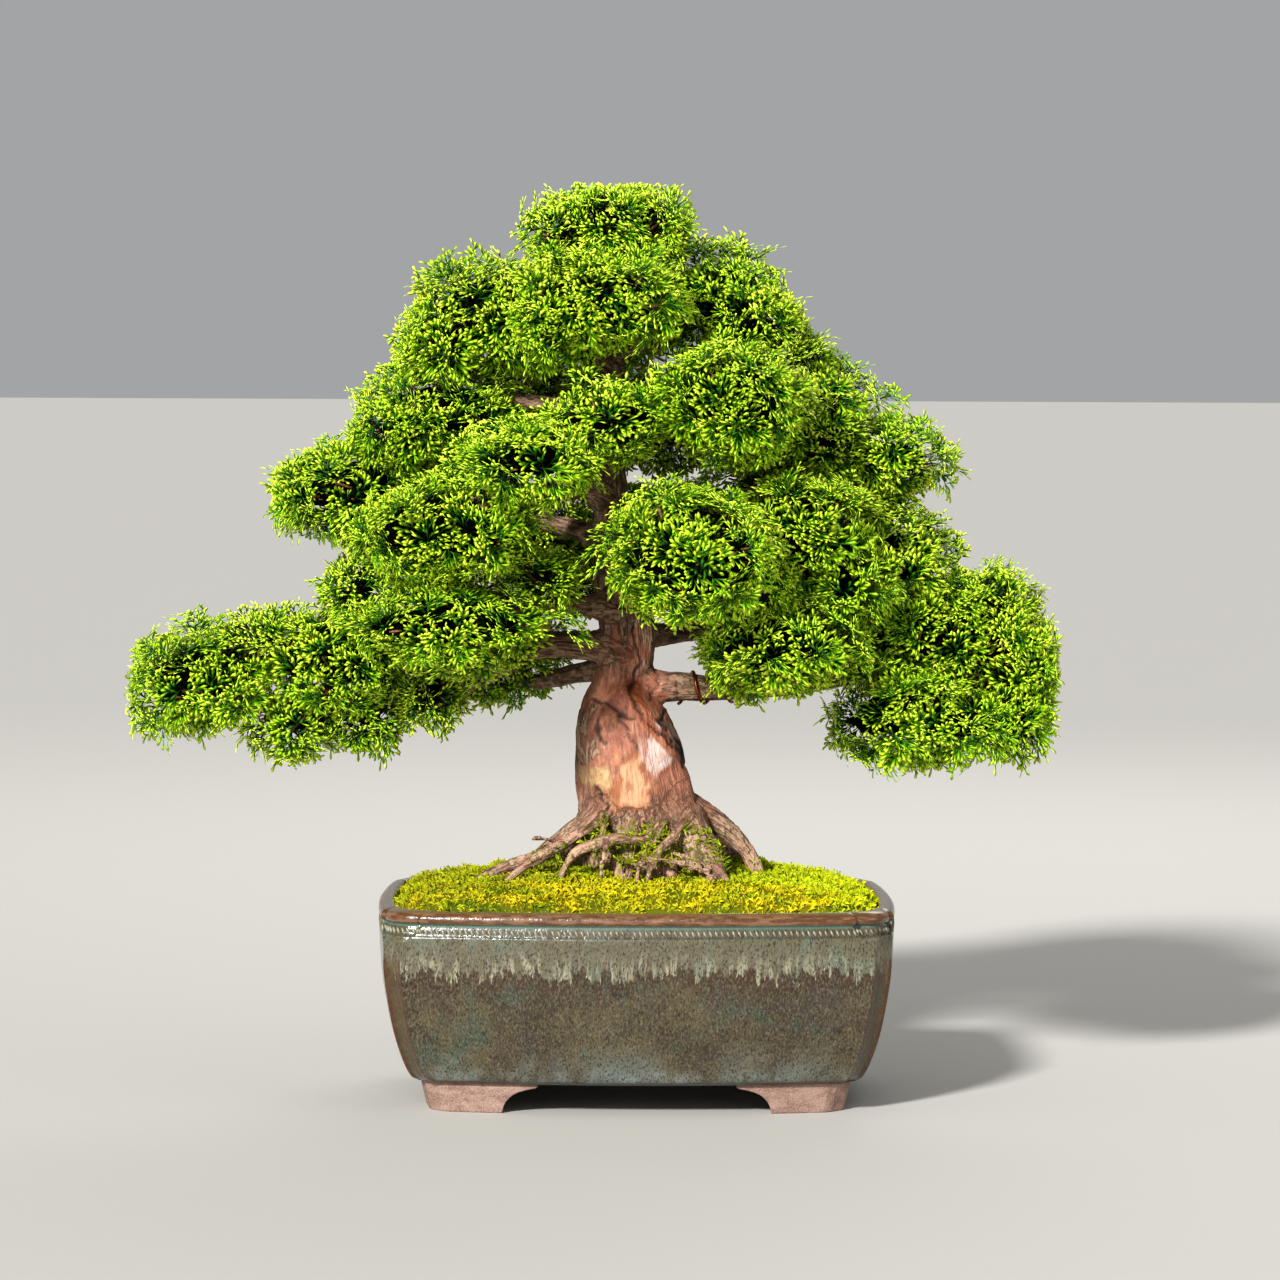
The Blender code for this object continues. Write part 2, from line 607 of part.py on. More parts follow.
def build_foliage(tree, wires, finish):
    chance = random.Random(SEED)
    cores = {name: core("foliage_" + name, *CUSHIONS[name], finish) for name in CUSHIONS}
    solids = [surface_of(tree)] + [surface_of(w) for w in wires]
    hearts = {name: surface_of(cores[name]) for name in CUSHIONS}
    areas = {name: h[0] * h[1] + (h[0] + h[1]) * h[2] for name, (c, h) in CUSHIONS.items()}
    share = FAN_COUNT / sum(areas.values())
    placed = []
    for name in CUSHIONS:
        others = solids + [hearts[n] for n in CUSHIONS if n != name] + placed
        before = len(others)
        fans = place_fans(name, round(areas[name] * share), others, chance)
        placed += others[before:]
        apply_boolean(cores[name], "UNION", [make_object("fan", *fan) for fan in fans])
        apply_boolean(cores[name], "DIFFERENCE", [stem_cutter(name)])
        keep_largest(cores[name])


def stem_cutter(cushion):
    """The stem that carries a cushion, grown by the gap, to cut the pocket that it sits in."""
    for row in BRANCHES:
        if row[0] == cushion:
            return limb(branch_path(*row), GAP, split=False)
    return tube("stem", TRUNK, TRUNK_SIDES, GAP, LUMP)


def main():
    clear_scene()
    bark = material("bark", (0.23, 0.11, 0.06), 0.75)
    leaf = material("scale_leaves", (0.12, 0.30, 0.02), 0.55)
    glaze = material("glazed_stoneware", (0.13, 0.13, 0.08), 0.3)
    earth = material("soil", (0.06, 0.04, 0.025), 0.95)
    green = material("moss", (0.25, 0.33, 0.01), 0.9)
    copper = material("training_wire", (0.35, 0.13, 0.05), 0.4, 0.9)
    mesh = material("drain_mesh", (0.02, 0.02, 0.02), 0.6)
    build_pot(glaze)
    build_screen("drain_screen_left", -1, mesh)
    build_screen("drain_screen_right", 1, mesh)
    tree = build_tree(bark)
    for layer in (build_soil(earth), build_moss(green)):
        cut_for_tree(layer)
    wires = [build_wire("wire_" + row[0], row, copper) for row in WIRES]
    build_foliage(tree, wires, leaf)


main()
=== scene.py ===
"""Hinoki cypress bonsai in a glazed stoneware pot, set out for a studio picture.

Lengths are in millimetres until a mesh is made. The origin is on the ground under the middle of the tree,
X runs to the right along the pot, Y runs away from the front and Z is up.
"""

import math

import bmesh
import bpy
import numpy as np
from mathutils import Matrix, Vector
from mathutils.kdtree import KDTree


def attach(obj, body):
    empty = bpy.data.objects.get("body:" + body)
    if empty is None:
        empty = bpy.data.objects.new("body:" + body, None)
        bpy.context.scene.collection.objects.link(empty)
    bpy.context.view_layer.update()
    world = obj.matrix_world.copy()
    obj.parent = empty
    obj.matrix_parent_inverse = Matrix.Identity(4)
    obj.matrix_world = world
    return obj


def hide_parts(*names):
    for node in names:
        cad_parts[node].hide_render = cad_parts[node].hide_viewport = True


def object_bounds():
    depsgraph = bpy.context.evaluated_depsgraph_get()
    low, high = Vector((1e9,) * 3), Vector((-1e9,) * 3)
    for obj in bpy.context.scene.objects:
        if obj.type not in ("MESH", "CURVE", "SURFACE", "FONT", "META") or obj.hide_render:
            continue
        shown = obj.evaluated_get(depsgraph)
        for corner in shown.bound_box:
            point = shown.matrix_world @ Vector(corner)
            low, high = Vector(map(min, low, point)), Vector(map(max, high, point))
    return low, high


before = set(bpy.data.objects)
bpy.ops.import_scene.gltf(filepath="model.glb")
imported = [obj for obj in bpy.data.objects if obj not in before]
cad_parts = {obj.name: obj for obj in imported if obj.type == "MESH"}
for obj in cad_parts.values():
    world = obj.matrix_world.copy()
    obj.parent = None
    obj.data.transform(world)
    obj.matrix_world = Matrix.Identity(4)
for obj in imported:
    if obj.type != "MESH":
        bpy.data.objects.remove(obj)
cad_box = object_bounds()
scene = bpy.context.scene

# Studio
# A long lens stands a little above the pot's lip and looks slightly down. The tree stands on matt paper that
# runs far back. A strong soft light falls from the upper left front, among weak lamps and a pale surround.
CAMERA_PLACE = (-0.012, -3.806, 0.563)
# the picture's width and the lens's length in the picture's own pixels, and the sensor's width in millimetres
PICTURE_PIXELS = 1280
LENS_PIXELS = 5000
SENSOR_WIDTH = 36
# how far the picture's middle lies to the right of straight ahead and below it, in the same pixels
MIDDLE_RIGHT = 62
MIDDLE_DOWN = 284
CAMERA_TURN = math.atan(MIDDLE_RIGHT / LENS_PIXELS)
CAMERA_DIP = math.atan(MIDDLE_DOWN / LENS_PIXELS)
CAMERA_ROLL = math.radians(0.25)
CAMERA_SIGHT = 100
EXPOSURE = 0.1
PAPER = "#bab7b1"
PAPER_REACH = 60.0
SURROUND = "#e4e6e8"
SURROUND_POWER = 0.4
# the main light comes from so far off that it is a sun with a wide disc
SUN_FROM = (-1.2, -2.2, 1.4)
SUN_POWER = 4.5
SUN_DISC = math.radians(7)
# where each lamp hangs, its width and its power
LAMPS = {"fill": ((2.3, -1.6, 1.2), 1.8, 8.0), "front": ((-0.3, -3.4, 0.7), 1.6, 12.0),
         "back": ((0.6, 2.4, 2.2), 1.6, 18.0)}
LAMP_AIM = Vector((0.0, 0.0, 0.36))


def colour(hex_value):
    """A linear colour with alpha from an sRGB hex value."""
    parts = [int(hex_value[i:i + 2], 16) / 255 for i in (1, 3, 5)]
    return [p / 12.92 if p <= 0.04045 else ((p + 0.055) / 1.055) ** 2.4 for p in parts] + [1.0]


def new_finish(name, base, roughness, **sockets):
    """A material with the shader's own values set; returns it, its node tree and the shader's inputs."""
    finish = bpy.data.materials.new(name)
    finish.use_nodes = True
    shader = finish.node_tree.nodes["Principled BSDF"].inputs
    shader["Base Color"].default_value = colour(base)
    shader["Roughness"].default_value = roughness
    for socket, value in sockets.items():
        shader[socket.replace("_", " ")].default_value = value
    return finish, finish.node_tree, shader


camera = bpy.data.objects.new("camera", bpy.data.cameras.new("camera"))
camera.data.sensor_width = SENSOR_WIDTH
camera.data.lens = LENS_PIXELS / PICTURE_PIXELS * SENSOR_WIDTH
camera.data.clip_end = CAMERA_SIGHT
ahead = Vector((math.sin(CAMERA_TURN) * math.cos(CAMERA_DIP), math.cos(CAMERA_TURN) * math.cos(CAMERA_DIP),
                -math.sin(CAMERA_DIP)))
camera.matrix_world = (Matrix.Translation(CAMERA_PLACE) @ ahead.to_track_quat("-Z", "Y").to_matrix().to_4x4()
                       @ Matrix.Rotation(CAMERA_ROLL, 4, "Z"))
scene.collection.objects.link(camera)
scene.camera = camera

for name, (place, width, power) in LAMPS.items():
    lamp = bpy.data.objects.new(name, bpy.data.lights.new(name, "AREA"))
    lamp.data.size = width
    lamp.data.energy = power
    lamp.location = place
    lamp.rotation_euler = (LAMP_AIM - Vector(place)).to_track_quat("-Z", "Y").to_euler()
    scene.collection.objects.link(lamp)

sun = bpy.data.objects.new("sun", bpy.data.lights.new("sun", "SUN"))
sun.data.energy = SUN_POWER
sun.data.angle = SUN_DISC
sun.rotation_euler = (-Vector(SUN_FROM)).to_track_quat("-Z", "Y").to_euler()
scene.collection.objects.link(sun)

scene.world = bpy.data.worlds.new("surround")
scene.world.use_nodes = True
surround = scene.world.node_tree.nodes["Background"].inputs
surround["Color"].default_value = colour(SURROUND)
surround["Strength"].default_value = SURROUND_POWER
scene.view_settings.view_transform = "Standard"
scene.view_settings.look = "Medium High Contrast"
scene.view_settings.exposure = EXPOSURE

paper = bpy.data.meshes.new("paper_floor")
corners = [(x * PAPER_REACH, y * PAPER_REACH, 0) for x, y in ((-1, -1), (1, -1), (1, 1), (-1, 1))]
paper.from_pydata(corners, [], [(0, 1, 2, 3)])
paper.materials.append(new_finish("matt_paper", PAPER, 0.85)[0])
floor = bpy.data.objects.new("paper_floor", paper)
scene.collection.objects.link(floor)

# Glazed pot
# A pressed stoneware pot with four bowed walls, a flat at each corner between two thin ribs and a rolled lip
# over a cut groove. It was dipped in glaze, which ran down from the lip in the kiln.
MM = 0.001
POT_X = 33.0
POT_HALF_LENGTH = 196.0
POT_HALF_DEPTH = 146.0
BOW_LENGTH = 8.0
BOW_DEPTH = 17.0
CORNER_FLAT = 11.0
LIP_CORNER = 26.0
DEPTH_SHARE = 0.75
BASE_Z = 23.0
FLOOR_Z = 33.0
# height and inset from the widest outline: up the outside, over the lip and down the inside
POT_WALL = [(23, 27), (25, 24), (28, 21), (40, 15.5), (64, 8.5), (100, 2.5), (128, 0.8), (134, 0.6),
            (134.6, 1.5), (140.6, 1.7), (142.2, 2.9), (143.2, 2.4), (144, 0.8), (146, 0.05), (148.4, 0.3),
            (150.6, 2.0), (152.2, 5.0), (152.95, 8.0), (152.6, 10.6), (150.5, 12), (146, 12.6), (128, 14.5),
            (96, 17), (64, 20), (42, 27), (35, 31), (33, 36)]
WALL_STEP = 2.8
FLAT_TO_ROUND = (122.0, 143.0)
RIB_HEIGHT = 1.5
RIB_WIDTH = 2.1
RIB_FADE = (110.0, 124.0)
FRONT_STEPS = 46
SIDE_STEPS = 36
CORNER_STEPS = 20
DRAIN_X = 85.0
DRAIN_RADIUS = 15.0
DRAIN_SIDES = 48
DRILL_PAST = 9.0


def smooth_step(low, high, value):
    """A soft rise from none at one value to full at another, or a fall where the first is the higher."""
    share = np.clip((value - low) / (high - low), 0, 1)
    return share * share * (3 - 2 * share)


def make_piece(name, points, triangles, finish, values=None, smooth=True):
    """A mesh piece from points in millimetres, with named values on every point."""
    mesh = bpy.data.meshes.new(name)
    points = np.asarray(points, float)
    triangles = np.asarray(triangles, int)
    mesh.vertices.add(len(points))
    mesh.vertices.foreach_set("co", (points * MM).ravel())
    mesh.loops.add(triangles.size)
    mesh.loops.foreach_set("vertex_index", triangles.ravel())
    mesh.polygons.add(len(triangles))
    mesh.polygons.foreach_set("loop_start", np.arange(len(triangles)) * 3)
    mesh.polygons.foreach_set("use_smooth", np.full(len(triangles), smooth))
    mesh.update(calc_edges=True)
    if finish:
        mesh.materials.append(finish)
    for key, value in (values or {}).items():
        value = np.asarray(value, float)
        kind, field = ("FLOAT", "value") if value.ndim == 1 else ("FLOAT_VECTOR", "vector")
        mesh.attributes.new(key, kind, "POINT").data.foreach_set(field, value.ravel())
    piece = bpy.data.objects.new(name, mesh)
    scene.collection.objects.link(piece)
    return piece


def put_in_place(piece, slot, *replaced):
    """A finished piece stands still with the rest, for the plain solids it replaces; the slot is not used."""
    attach(piece, "root")
    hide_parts(*replaced)


def ring_triangles(rows, count):
    """Triangles between rows of points, each row a closed ring, with a flat fan over both ends."""
    low = np.arange(rows - 1)[:, None] * count + np.arange(count)
    turn = np.arange(rows - 1)[:, None] * count + (np.arange(count) + 1) % count
    bands = np.stack([low, turn, turn + count, low, turn + count, low + count], -1).reshape(-1, 3)
    fan = np.array([(0, i + 1, i) for i in range(1, count - 1)])
    return np.concatenate([bands, fan, fan[:, ::-1] + (rows - 1) * count])


def along_table(table, step):
    """A table's rows made finer along a soft curve through them, about a step apart."""
    table = np.asarray(table, float)
    slopes = np.gradient(table, axis=0)
    rows = []
    for i in range(len(table) - 1):
        count = max(1, round(np.linalg.norm(table[i + 1] - table[i]) / step))
        t = np.arange(count)[:, None] / count
        rows.append((2 * t ** 3 - 3 * t ** 2 + 1) * table[i] + (t ** 3 - 2 * t ** 2 + t) * slopes[i]
                    + (3 * t ** 2 - 2 * t ** 3) * table[i + 1] + (t ** 3 - t ** 2) * slopes[i + 1])
    return np.concatenate(rows + [table[-1:]])


def pot_plan(z, inset):
    """Points round the pot at one height, and how far each lies on a rib or on a corner's flat."""
    length = POT_HALF_LENGTH - inset
    depth = POT_HALF_DEPTH - inset * DEPTH_SHARE
    corner = np.array([length - BOW_LENGTH, depth - BOW_DEPTH])
    flat = CORNER_FLAT * length / POT_HALF_LENGTH
    share = np.linspace(0, 1, CORNER_STEPS)[:, None]
    turn = share * math.pi / 2
    chamfer = corner + flat * np.hstack([share - 1, -share])
    bend = corner - LIP_CORNER + LIP_CORNER * np.hstack([np.sin(turn), np.cos(turn)])
    edge = chamfer + (bend - chamfer) * smooth_step(*FLAT_TO_ROUND, z)
    x, y = [end * np.sin(np.linspace(-math.pi / 2, math.pi / 2, steps + 2)[1:-1])
            for end, steps in ((edge[0, 0], FRONT_STEPS), (-edge[-1, 1], SIDE_STEPS))]
    back = np.stack([x, depth - BOW_DEPTH * (x / corner[0]) ** 2], -1)
    side = np.stack([length - BOW_LENGTH * (y / corner[1]) ** 2, y], -1)
    plan = np.concatenate([back, edge, side, edge[::-1] * (1, -1)])
    plan = np.concatenate([plan, -plan])
    flats = np.tile(np.repeat((0.0, 1.0, 0.0, 1.0), (FRONT_STEPS, CORNER_STEPS, SIDE_STEPS, CORNER_STEPS)), 2)
    ribs = np.zeros(len(plan))
    if inset < POT_WALL[0][1]:
        for spot in (chamfer[0], chamfer[-1]):
            for mirror in ((1, 1), (1, -1), (-1, 1), (-1, -1)):
                gap = np.linalg.norm(plan - spot * mirror, axis=1)
                ribs = np.maximum(ribs, np.exp(-(gap / RIB_WIDTH) ** 2))
        ribs *= 1 - smooth_step(*RIB_FADE, z)
    plan = plan * (1 + ribs * RIB_HEIGHT / np.linalg.norm(plan, axis=1))[:, None]
    marks = np.stack([ribs, flats * (1 - smooth_step(*RIB_FADE, z)), np.zeros(len(plan))], -1)
    return np.column_stack([plan[:, 0] + POT_X, plan[:, 1], np.full(len(plan), z)]), marks


def cut_drains(body):
    """Open the two round drainage holes in the pot's floor, and give the new mesh the old one's marks."""
    near = KDTree(len(body.data.vertices))
    for i, point in enumerate(body.data.vertices):
        near.insert(point.co, i)
    near.balance()
    old = [tuple(mark.vector) for mark in body.data.attributes["pot_marks"].data]
    for side in (-1, 1):
        turn = np.linspace(0, 2 * math.pi, DRAIN_SIDES, endpoint=False)
        x = POT_X + side * DRAIN_X + DRAIN_RADIUS * np.cos(turn)
        y = DRAIN_RADIUS * np.sin(turn)
        rings = [np.column_stack([x, y, np.full(DRAIN_SIDES, z)])
                 for z in (BASE_Z - DRILL_PAST, FLOOR_Z + DRILL_PAST)]
        drill = make_piece("drill", np.concatenate(rings), ring_triangles(2, DRAIN_SIDES), None)
        change = body.modifiers.new("drain", "BOOLEAN")
        change.object = drill
        result = bpy.data.meshes.new_from_object(body.evaluated_get(bpy.context.evaluated_depsgraph_get()))
        body.modifiers.remove(change)
        body.data = result
        bpy.data.objects.remove(drill)
    new = [old[near.find(point.co)[1]] for point in body.data.vertices]
    body.data.attributes["pot_marks"].data.foreach_set("vector", np.array(new).ravel())


def add_node(graph, kind, inputs=None, **settings):
    """Add a shader node, set it, give each input a value or a link, and return its outputs."""
    node = graph.nodes.new("ShaderNode" + kind)
    for key, value in settings.items():
        setattr(node, key, value)
    for key, value in (inputs or {}).items():
        if isinstance(value, bpy.types.NodeSocket):
            graph.links.new(value, node.inputs[key])
        else:
            node.inputs[key].default_value = value
    return node.outputs


def values_on(graph, name):
    """The three values that every point of a piece carries under a name, as X, Y and Z."""
    return add_node(graph, "SeparateXYZ", {0: add_node(graph, "Attribute", attribute_name=name)["Vector"]})


def place_in_mm(graph):
    """Every point's own place in millimetres."""
    return add_node(graph, "VectorMath", {0: add_node(graph, "TexCoord")["Object"], "Scale": 1 / MM},
                    operation="SCALE")[0]


def patches(graph, place, size, low, high, detail=4.0):
    """Where soft noise of the given size in millimetres lies between two levels, from none to full."""
    spread = add_node(graph, "VectorMath", {0: place, 1: [1 / s for s in size]}, operation="MULTIPLY")[0]
    noise = add_node(graph, "TexNoise",
                     {"Vector": spread, "Scale": 1.0, "Detail": detail, "Roughness": 0.6})[0]
    return between(graph, noise, low, high)


def between(graph, value, *levels):
    """Full from the second of two levels on, or between the second and third of four; it fades to none."""
    share = add_node(graph, "MapRange", {"Value": value, "From Min": levels[0], "From Max": levels[1]},
                     interpolation_type="SMOOTHSTEP")[0]
    if len(levels) == 4:
        share = add_node(graph, "Math", {0: share, 1: between(graph, value, levels[3], levels[2])},
                         operation="MULTIPLY")[0]
    return share


def paint(graph, under, layers):
    """Lay colours one over another, each with its strength and the masks that limit it."""
    for strength, over, *masks in layers:
        share = strength
        for mask in masks:
            share = add_node(graph, "Math", {0: share, 1: mask}, operation="MULTIPLY")[0]
        under = under if isinstance(under, bpy.types.NodeSocket) else colour(under)
        under = add_node(graph, "Mix", {0: share, 6: under, 7: colour(over)}, data_type="RGBA")[2]
    return under


# Reduction-fired glaze: a glossy coat full of fine dark specks that sagged into short upright streaks,
# clouded olive, brown and turquoise. Under the lip it lies thick in pale runs, and it thins to brown on
# every edge.
glaze, graph, shader = new_finish("reduction_fired_glaze", "#3f3626", 0.2, IOR=1.52, Coat_Weight=0.4,
                                 Coat_Roughness=0.13)
place = place_in_mm(graph)
height = add_node(graph, "SeparateXYZ", {0: place})["Z"]
marks = values_on(graph, "pot_marks")
rib, corner, rope = marks["X"], marks["Y"], marks["Z"]
specks = patches(graph, place, (1.2, 1.2, 2.6), 0.5, 0.63, 3.0)
grains = patches(graph, place, (1.3, 1.3, 2.8), 0.5, 0.38, 3.0)
# the molten glaze wandered a little to the side as it ran
sway = add_node(graph, "VectorMath", {0: place, 1: (0.09, 0.09, 0.05)}, operation="MULTIPLY")[0]
sway = add_node(graph, "TexNoise", {"Vector": sway, "Scale": 1.0, "Detail": 1.0})[1]
sway = add_node(graph, "VectorMath", {0: sway, 1: (9.0, 9.0, 0.0), 2: place}, operation="MULTIPLY_ADD")[0]
runs = patches(graph, sway, (9, 9, 90), 0.32, 0.68, 2.0)
trickles = patches(graph, sway, (3.2, 3.2, 44), 0.46, 0.66, 3.0)
# the runs stop at 112 to 95 mm, lower where they are thick
stop = add_node(graph, "Math", {0: runs, 1: -11.0, 2: 113.0}, operation="MULTIPLY_ADD")[0]
stop = add_node(graph, "Math", {0: trickles, 1: -6.0, 2: stop}, operation="MULTIPLY_ADD")[0]
over_stop = add_node(graph, "Math", {0: height, 1: stop}, operation="SUBTRACT")[0]
band = between(graph, over_stop, 0.0, 2.5)
glaze_colour = paint(graph, "#403626", [
    (0.8, "#534a33", patches(graph, place, (62, 62, 44), 0.40, 0.58)),
    (0.7, "#2d2218", patches(graph, place, (30, 30, 22), 0.50, 0.66)),
    (0.7, "#3b342f", patches(graph, place, (48, 48, 36), 0.50, 0.66)),
    (0.6, "#37483d", patches(graph, place, (38, 38, 30), 0.52, 0.66)),
    (0.45, "#7b8580", patches(graph, place, (46, 46, 60), 0.4, 0.64), between(graph, height, 22, 24, 26, 62)),
    (0.55, "#87918c", patches(graph, place, (14, 14, 26), 0.42, 0.64), between(graph, height, 22, 23, 25, 40)),
    (0.75, "#3b2615", between(graph, over_stop, -15, -5, 0, 3)),
    (0.8, "#5f5a47", band),
    (0.55, "#5f6c5e", band, patches(graph, place, (26, 26, 30), 0.46, 0.62)),
    (0.75, "#a29d86", band, trickles, between(graph, over_stop, 0, 2, 5, 24)),
    (0.8, "#1a120b", specks),
    (0.4, "#766f56", grains),
    (0.6, "#4a3719", corner),
    (0.85, "#3a2413", between(graph, rib, 0.25, 0.7)),
    (0.5, "#6a3d17", between(graph, rib, 0.35, 0.8), patches(graph, place, (2, 2, 7), 0.46, 0.6)),
    # painted shade: the band behind the slanting ridges is darker
    (0.4, "#292017", between(graph, height, 133.6, 134.6, 140.6, 141.2)),
    # painted highlight: the ridges' backs are pale
    (0.8, "#9a957c", rope, patches(graph, place, (18, 18, 18), 0.30, 0.52)),
    (0.7, "#47685d", between(graph, height, 140.8, 142.0, 143.2, 144.0)),
    (1.0, "#56371f", between(graph, height, 143.6, 144.8)),
    (0.7, "#86644a", between(graph, height, 143.6, 144.8), patches(graph, place, (16, 16, 3), 0.42, 0.62)),
    (0.9, "#6f5e3f", between(graph, height, 150.4, 152.4)),
    (0.6, "#4a3722", between(graph, height, 150.4, 152.4), specks),
    # painted shadow: a dark line where the wall turns under, above the feet
    (0.9, "#1a120c", between(graph, height, 20, 21, 23.8, 26.5))])
graph.links.new(glaze_colour, shader["Base Color"])
waves = patches(graph, place, (11, 11, 15), 0.2, 0.8)
# the glaze lies thin over the pressed ridges, so they gleam less than the smooth wall
dull = add_node(graph, "MapRange", {"Value": waves, "To Min": 0.14, "To Max": 0.32})[0]
dull = add_node(graph, "Math", {0: rope, 1: 0.3, 2: dull}, operation="MULTIPLY_ADD")[0]
graph.links.new(dull, shader["Roughness"])
pits = add_node(graph, "Bump", {"Height": specks, "Strength": 0.12, "Distance": 0.3 * MM})[0]
uneven = add_node(graph, "Bump", {"Height": waves, "Normal": pits, "Strength": 0.3, "Distance": 1.6 * MM})[0]
graph.links.new(uneven, shader["Normal"])

rows = along_table(POT_WALL, WALL_STEP)
plans = [pot_plan(z, inset) for z, inset in rows]
points, marks = [np.concatenate(part) for part in zip(*plans)]
pot_body = make_piece("pot_body", points, ring_triangles(len(rows), len(plans[0][0])), glaze,
                      {"pot_marks": marks})
cut_drains(pot_body)
put_in_place(pot_body, "glazed_stoneware", "pot")

# Rope-like band
# Under the lip a toothed tool pressed slanting ridges into the soft clay, side by side all round the pot. The
# band between them is painted darker as shade, and their backs are painted pale as a highlight.
ROPE_PITCH = 4.3
ROPE_LOW = 134.2
ROPE_HIGH = 141.2
ROPE_LEAN = 3.0
ROPE_HALF_WIDTH = 1.25
ROPE_PROUD = 0.55
ROPE_INSET = 1.6
BEAD_SINK = 0.3
BEAD_CREST = 0.9
BEAD_SHOULDER = 0.6
BEAD_ROOT = 1.5
# each ridge is an eight-point bead: its ends, sides, back and inner face
BEAD = [(0, 3, 5), (5, 3, 4), (4, 3, 6), (6, 3, 2), (2, 1, 6), (6, 1, 4), (4, 1, 5), (5, 1, 0),
        (0, 7, 3), (3, 7, 2), (2, 7, 1), (1, 7, 0)]


def run_along(path):
    """How far each row of a path lies from its start, along it."""
    return np.cumsum(np.linalg.norm(np.diff(path, axis=0, prepend=path[:1]), axis=1))


def rows_at(path, run, spots):
    """A path's rows at given distances along it."""
    return np.stack([np.interp(spots, run, path[:, i]) for i in range(path.shape[1])], -1)


loop = pot_plan((ROPE_LOW + ROPE_HIGH) / 2, ROPE_INSET)[0]
loop = np.concatenate([loop, loop[:1]])
reach = run_along(loop)
ridge_count = round(reach[-1] / ROPE_PITCH)
points, triangles = [], []
for i in range(ridge_count):
    at = i * reach[-1] / ridge_count + np.array([-1.0, 0.0, 1.0])
    before, spot, after = rows_at(loop, reach, at % reach[-1])
    side = (after - before) / np.linalg.norm(after - before)
    out = np.cross(side, (0, 0, 1))
    out *= np.sign(out @ (spot - (POT_X, 0, 0)))
    lean = side * np.sign(np.cross((0, 0, 1), out) @ side) * ROPE_LEAN / 2
    up = np.array([0, 0, (ROPE_HIGH - ROPE_LOW) / 2])
    wide = side * ROPE_HALF_WIDTH
    triangles += [[len(points) + c for c in corners] for corners in BEAD]
    points += [spot + lean - up - out, spot - wide - out * BEAD_SINK,
               spot - lean + up - out, spot + wide - out * BEAD_SINK,
               spot + out * (ROPE_PROUD + BEAD_CREST),
               spot + (lean - up) * BEAD_SHOULDER + out * (ROPE_PROUD + BEAD_SHOULDER),
               spot - (lean - up) * BEAD_SHOULDER + out * (ROPE_PROUD + BEAD_SHOULDER),
               spot - out * BEAD_ROOT]
rope_band = make_piece("pot_rope_band", points, triangles, glaze, {"pot_marks": [(0, 0, 1)] * len(points)})
put_in_place(rope_band, "glazed_stoneware", "pot")

# Pot feet
# Four L-shaped bracket feet, pressed with the pot and left as bare clay, each with a cove cut under the free
# end of both legs. Sandy red stoneware, dry to the eye and paler where its edges are scuffed.
FOOT_INSET = 3.0
FOOT_TAPER = 5.0
FOOT_CHAMFER = 8.0
FOOT_THICK = 17.0
FOOT_FRONT_LEG = 53.0
FOOT_SIDE_LEG = 38.0
FOOT_EDGE = 0.9
FOOT_SHARP = 0.5
FOOT_STEPS = 6
FOOT_BEND = 6.0
# height, and how far the cove has opened the leg there
FOOT_COVE = [(0, 0), (1.2, 0.3), (6, 2.5), (9, 4.8), (12, 8), (14.5, 11.6), (16.5, 16), (18.2, 22),
             (19.6, 29), (21, 31), (25, 31)]

bare_clay, graph, shader = new_finish("bare_stoneware_clay", "#75594c", 0.8)
place = place_in_mm(graph)
sand = patches(graph, place, (1.1, 1.1, 1.1), 0.4, 0.65, 3.0)
graph.links.new(paint(graph, "#7d6052", [
    (0.7, "#a1877a", patches(graph, place, (22, 22, 9), 0.40, 0.62)),
    (0.5, "#5a443a", patches(graph, place, (9, 9, 5), 0.50, 0.68)),
    (0.45, "#bda294", sand)]), shader["Base Color"])
uneven = add_node(graph, "Bump", {"Height": sand, "Strength": 0.4, "Distance": 0.4 * MM})[0]
graph.links.new(uneven, shader["Normal"])


def foot_plan(z, opened):
    """One foot's outline at one height, in the corner where X and Y are positive."""
    inset = FOOT_INSET + FOOT_TAPER * (1 - min(z, BASE_Z) / BASE_Z)
    length = POT_HALF_LENGTH - POT_WALL[0][1]
    depth = POT_HALF_DEPTH - POT_WALL[0][1] * DEPTH_SHARE
    corner_x = length - BOW_LENGTH - inset
    corner_y = depth - BOW_DEPTH - inset
    tip_x = corner_x - FOOT_FRONT_LEG - opened
    tip_y = corner_y - FOOT_SIDE_LEG - opened
    plan = [(corner_x - FOOT_CHAMFER, corner_y)]
    plan += [(x, depth - inset - BOW_DEPTH * (x / corner_x) ** 2)
             for x in np.linspace(corner_x - FOOT_CHAMFER - FOOT_BEND, tip_x, FOOT_STEPS)]
    plan += [(tip_x, plan[-1][1] - FOOT_THICK), (corner_x - FOOT_THICK, corner_y - FOOT_THICK)]
    edge = [(length - inset - BOW_LENGTH * (y / corner_y) ** 2, y)
            for y in np.linspace(tip_y, corner_y - FOOT_CHAMFER - FOOT_BEND, FOOT_STEPS)]
    plan += [(edge[0][0] - FOOT_THICK, tip_y)] + edge + [(corner_x, corner_y - FOOT_CHAMFER)]
    return [(x, y, z) for x, y in plan]


def joined(parts):
    """Several lots of points and triangles as one lot."""
    starts = np.cumsum([0] + [len(points) for points, _ in parts[:-1]])
    return (np.concatenate([points for points, _ in parts]),
            np.concatenate([triangles + start for (_, triangles), start in zip(parts, starts)]))


